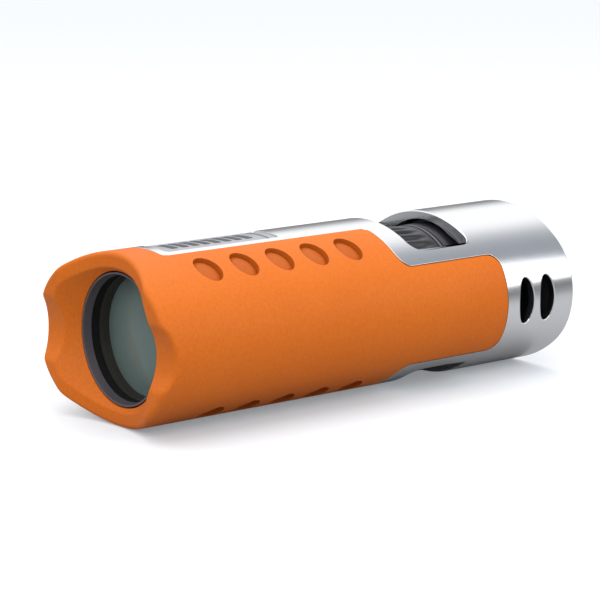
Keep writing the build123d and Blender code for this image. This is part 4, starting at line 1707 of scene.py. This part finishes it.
class InnerPieces:
    """CAD nodes that stay as they are: each gets the finish of what it is made of."""

    finishes = {
        "front_bulkhead": "black satin plastic",
        "lens_clamp_ring": "black anodised metal",
        "light_baffle": "matt optical black",
        "prism_housing": "black satin plastic",
        "half_penta_prism": "prism glass",
        "roof_prism": "prism glass",
        "prism_clamp": "brushed spring steel",
        "prism_clamp_screws": "turned screw steel",
        "rear_barrel": "matt optical black",
        "barrel_screws": "turned screw steel",
        "friction_washer": "white washer nylon",
        "guide_pins": "turned screw steel",
        "eyepiece_carrier": "matt optical black",
        "field_stop": "matt optical black",
        "field_lens": "coated eyepiece glass",
        "eyepiece_spacer": "matt optical black",
        "eye_lens_flint": "coated eyepiece glass",
        "eye_lens_crown": "coated eyepiece glass",
    }

    def dress(self, nodes: dict[str, bpy.types.Object], wardrobe: Wardrobe) -> None:
        """Dress each CAD node that stays, with the finish listed for it.

        Args:
            nodes: the frame's nodes by name.
            wardrobe: the finishes.
        """
        for name, finish in self.finishes.items():
            node = nodes[name]
            node.data.materials.clear()
            node.data.materials.append(wardrobe.materials[finish])
        log.info("dressed %d inner nodes", len(self.finishes))


@dataclass
class Studio:
    """Pale floor, soft lights and the camera."""

    azimuth: float = 50.95
    elevation: float = 11.49
    distance: float = 443.5
    look_at: Point = (0.0, 44.9, 0.0)
    lens: float = 144.6
    shift: tuple[float, float] = (-0.0032, 0.0175)
    floor_size: float = 6.0
    # Painted light and shade on the floor for bounce and reflection rays: a lighter pool near the object, darker
    # far off.
    floor_painted_light_near: Colour = (0.42, 0.425, 0.43)
    floor_painted_shade_far: Colour = (0.20, 0.205, 0.21)
    floor_seen: Colour = (0.76, 0.765, 0.78)
    floor_glow: Colour = (0.225, 0.240, 0.252)
    pool_start: float = 0.08
    pool_end: float = 0.22
    room: tuple[tuple[float, float], ...] = (
        (-90, 0.3), (-2, 0.22), (4, 0.22), (8, 0.30), (11, 0.44), (15, 0.75), (20, 1.15), (36, 1.2),
        (60, 1.0), (90, 0.9))
    flag_colour: Colour = (0.36, 0.385, 0.42)
    backdrop_white: float = 1.02

    def build(self) -> None:
        """Set the floor, the lights, the backdrop and the camera."""
        self.floor()
        self.backdrop()
        self.light("overhead_softbox", (0, 45, 420), (0, 45, 0), 0.5, 1.0)
        self.light("side_softbox", (420, 380, 260), (0, 45, 0), 0.35, 0.5)
        self.light("front_softbox", (410, -344, 272), (0, 45, 0), 0.25, 0.55)
        self.camera()

    def back(self) -> Vector:
        """Direction from the object to the camera."""
        a, e = math.radians(self.azimuth), math.radians(self.elevation)
        return Vector((math.sin(a) * math.cos(e), -math.cos(a) * math.cos(e), math.sin(e)))

    def floor(self) -> None:
        """Pale floor under the object; to bounce and reflection rays it shows a painted pool of light round the
        object and painted shade far off.
        """
        clear_selection()
        bpy.ops.mesh.primitive_plane_add(size=self.floor_size, location=(0, 0, CAD_LOW.z))
        floor = bpy.context.object
        floor.name = "floor"
        material, tree, shader = blank_material("pale studio floor")
        reach = self.painted_pool_mask(tree)
        # Painted light and shade: the floor is lighter round the object and darker far off for bounce and
        # reflection rays; the camera sees it evenly pale.
        painted_floor_bounce = mix_colour(tree, self.floor_painted_light_near, self.floor_painted_shade_far, reach, 1.0)
        seen = tree.nodes.new("ShaderNodeLightPath").outputs["Is Camera Ray"]
        tree.links.new(mix_colour(tree, painted_floor_bounce, self.floor_seen, seen, 1.0), shader.inputs["Base Color"])
        tree.links.new(mix_colour(tree, (0, 0, 0), self.floor_glow, seen, 1.0),
                       shader.inputs["Emission Color"])
        shader.inputs["Roughness"].default_value = 0.7
        shader.inputs["Specular IOR Level"].default_value = 0.1
        shader.inputs["Emission Strength"].default_value = 1.0
        floor.data.materials.append(material)

    def painted_pool_mask(self, tree: bpy.types.NodeTree) -> bpy.types.NodeSocket:
        """Mask that rises away from the object, for the floor's painted light: a lighter pool round it, darker
        far off.

        Args:
            tree: the floor's node tree.

        Returns:
            A mask, 0 round the object and 1 far off.
        """
        coordinates = tree.nodes.new("ShaderNodeTexCoord")
        length = tree.nodes.new("ShaderNodeVectorMath")
        length.operation = "LENGTH"
        tree.links.new(coordinates.outputs["Object"], length.inputs[0])
        mask = tree.nodes.new("ShaderNodeMapRange")
        mask.interpolation_type = "SMOOTHSTEP"
        mask.inputs["From Min"].default_value = self.pool_start
        mask.inputs["From Max"].default_value = self.pool_end
        tree.links.new(length.outputs["Value"], mask.inputs["Value"])
        return mask.outputs["Result"]

    def backdrop(self) -> None:
        """White surround; in reflections it shows as a softly graded room."""
        world = bpy.data.worlds.new("studio")
        bpy.context.scene.world = world
        world.use_nodes = True
        tree = world.node_tree
        surround = tree.nodes["Background"]
        coordinates = tree.nodes.new("ShaderNodeTexCoord")
        split = tree.nodes.new("ShaderNodeSeparateXYZ")
        tree.links.new(coordinates.outputs["Generated"], split.inputs[0])
        height = tree.nodes.new("ShaderNodeMapRange")
        height.inputs["From Min"].default_value = -1
        tree.links.new(split.outputs["Z"], height.inputs["Value"])
        ramp = tree.nodes.new("ShaderNodeValToRGB")
        tree.links.new(height.outputs["Result"], ramp.inputs["Fac"])
        self.set_ramp(ramp.color_ramp, self.room)
        flag = self.flag(tree, coordinates.outputs["Generated"])
        shaded = tree.nodes.new("ShaderNodeMix")
        shaded.data_type = "RGBA"
        tree.links.new(flag, shaded.inputs["Factor"])
        tree.links.new(ramp.outputs["Color"], shaded.inputs["A"])
        shaded.inputs["B"].default_value = (*self.flag_colour, 1)
        seen = tree.nodes.new("ShaderNodeLightPath")
        choice = tree.nodes.new("ShaderNodeMix")
        choice.data_type = "RGBA"
        tree.links.new(seen.outputs["Is Camera Ray"], choice.inputs["Factor"])
        tree.links.new(next(s for s in shaded.outputs if s.type == "RGBA"), choice.inputs["A"])
        choice.inputs["B"].default_value = (*[self.backdrop_white] * 3, 1)
        tree.links.new(next(s for s in choice.outputs if s.type == "RGBA"), surround.inputs["Color"])

    @staticmethod
    def set_ramp(ramp: bpy.types.ColorRamp, stops: Sequence[tuple[float, float]]) -> None:
        """Put grey stops on a ramp by elevation.

        Args:
            ramp: the ramp, from straight down to straight up.
            stops: elevation in degrees and brightness.
        """
        while len(ramp.elements) > 1:
            ramp.elements.remove(ramp.elements[-1])
        for index, (elevation, value) in enumerate(stops):
            place = (math.sin(math.radians(elevation)) + 1) / 2
            stop = ramp.elements[0] if index == 0 else ramp.elements.new(place)
            stop.position = place
            stop.color = (value * 0.985, value * 0.99, value, 1)

    @staticmethod
    def flag(tree: bpy.types.NodeTree, direction: bpy.types.NodeSocket) -> bpy.types.NodeSocket:
        """Soft grey patch high on the far side, which the crown's flank reflects.

        Args:
            tree: the world's node tree.
            direction: the viewing direction.

        Returns:
            A mask, 1 in the patch.
        """
        azimuth, elevation = math.radians(68), math.radians(45)
        dot = tree.nodes.new("ShaderNodeVectorMath")
        dot.operation = "DOT_PRODUCT"
        tree.links.new(direction, dot.inputs[0])
        dot.inputs[1].default_value = (math.cos(azimuth) * math.cos(elevation),
                                       math.sin(azimuth) * math.cos(elevation), math.sin(elevation))
        mask = tree.nodes.new("ShaderNodeMapRange")
        mask.interpolation_type = "SMOOTHSTEP"
        mask.inputs["From Min"].default_value = math.cos(math.radians(36))
        mask.inputs["From Max"].default_value = math.cos(math.radians(10))
        tree.links.new(dot.outputs["Value"], mask.inputs["Value"])
        return mask.outputs["Result"]

    @staticmethod
    def light(name: str, at: Point, towards: Point, size: float, power: float) -> None:
        """Hang a square area light.

        Args:
            name: name of the light.
            at: place in millimetres about the axis.
            towards: where it points.
            size: side in metres.
            power: watts.
        """
        clear_selection()
        bpy.ops.object.light_add(type="AREA", location=spot(at))
        lamp = bpy.context.object
        lamp.name = name
        lamp.data.size = size
        lamp.data.energy = power
        lamp.rotation_euler = (spot(towards) - spot(at)).to_track_quat("-Z", "Y").to_euler()

    def camera(self) -> None:
        """Stand the camera where the object was seen from."""
        data = bpy.data.cameras.new("camera")
        data.lens = self.lens
        data.sensor_width = 36.0
        data.shift_x, data.shift_y = self.shift
        camera = bpy.data.objects.new("camera", data)
        bpy.context.scene.collection.objects.link(camera)
        back = self.back()
        camera.location = spot(self.look_at) + back * self.distance * MM
        camera.rotation_euler = (-back).to_track_quat("-Z", "Y").to_euler()
        bpy.context.scene.camera = camera
        bpy.context.scene.view_settings.view_transform = "Standard"


def main() -> None:
    """Build every sub-assembly in turn."""
    logging.basicConfig(level=logging.INFO, format="%(name)s: %(message)s")
    wardrobe = Wardrobe()
    InnerPieces().dress(frame["nodes"], wardrobe)
    for assembly in (GripSleeve(), BodyShell(), NamePlate(), Objective(), FocusWheel(), Rear()):
        assembly.build(wardrobe)
    Studio().build()


if __name__ == "__main__":
    main()
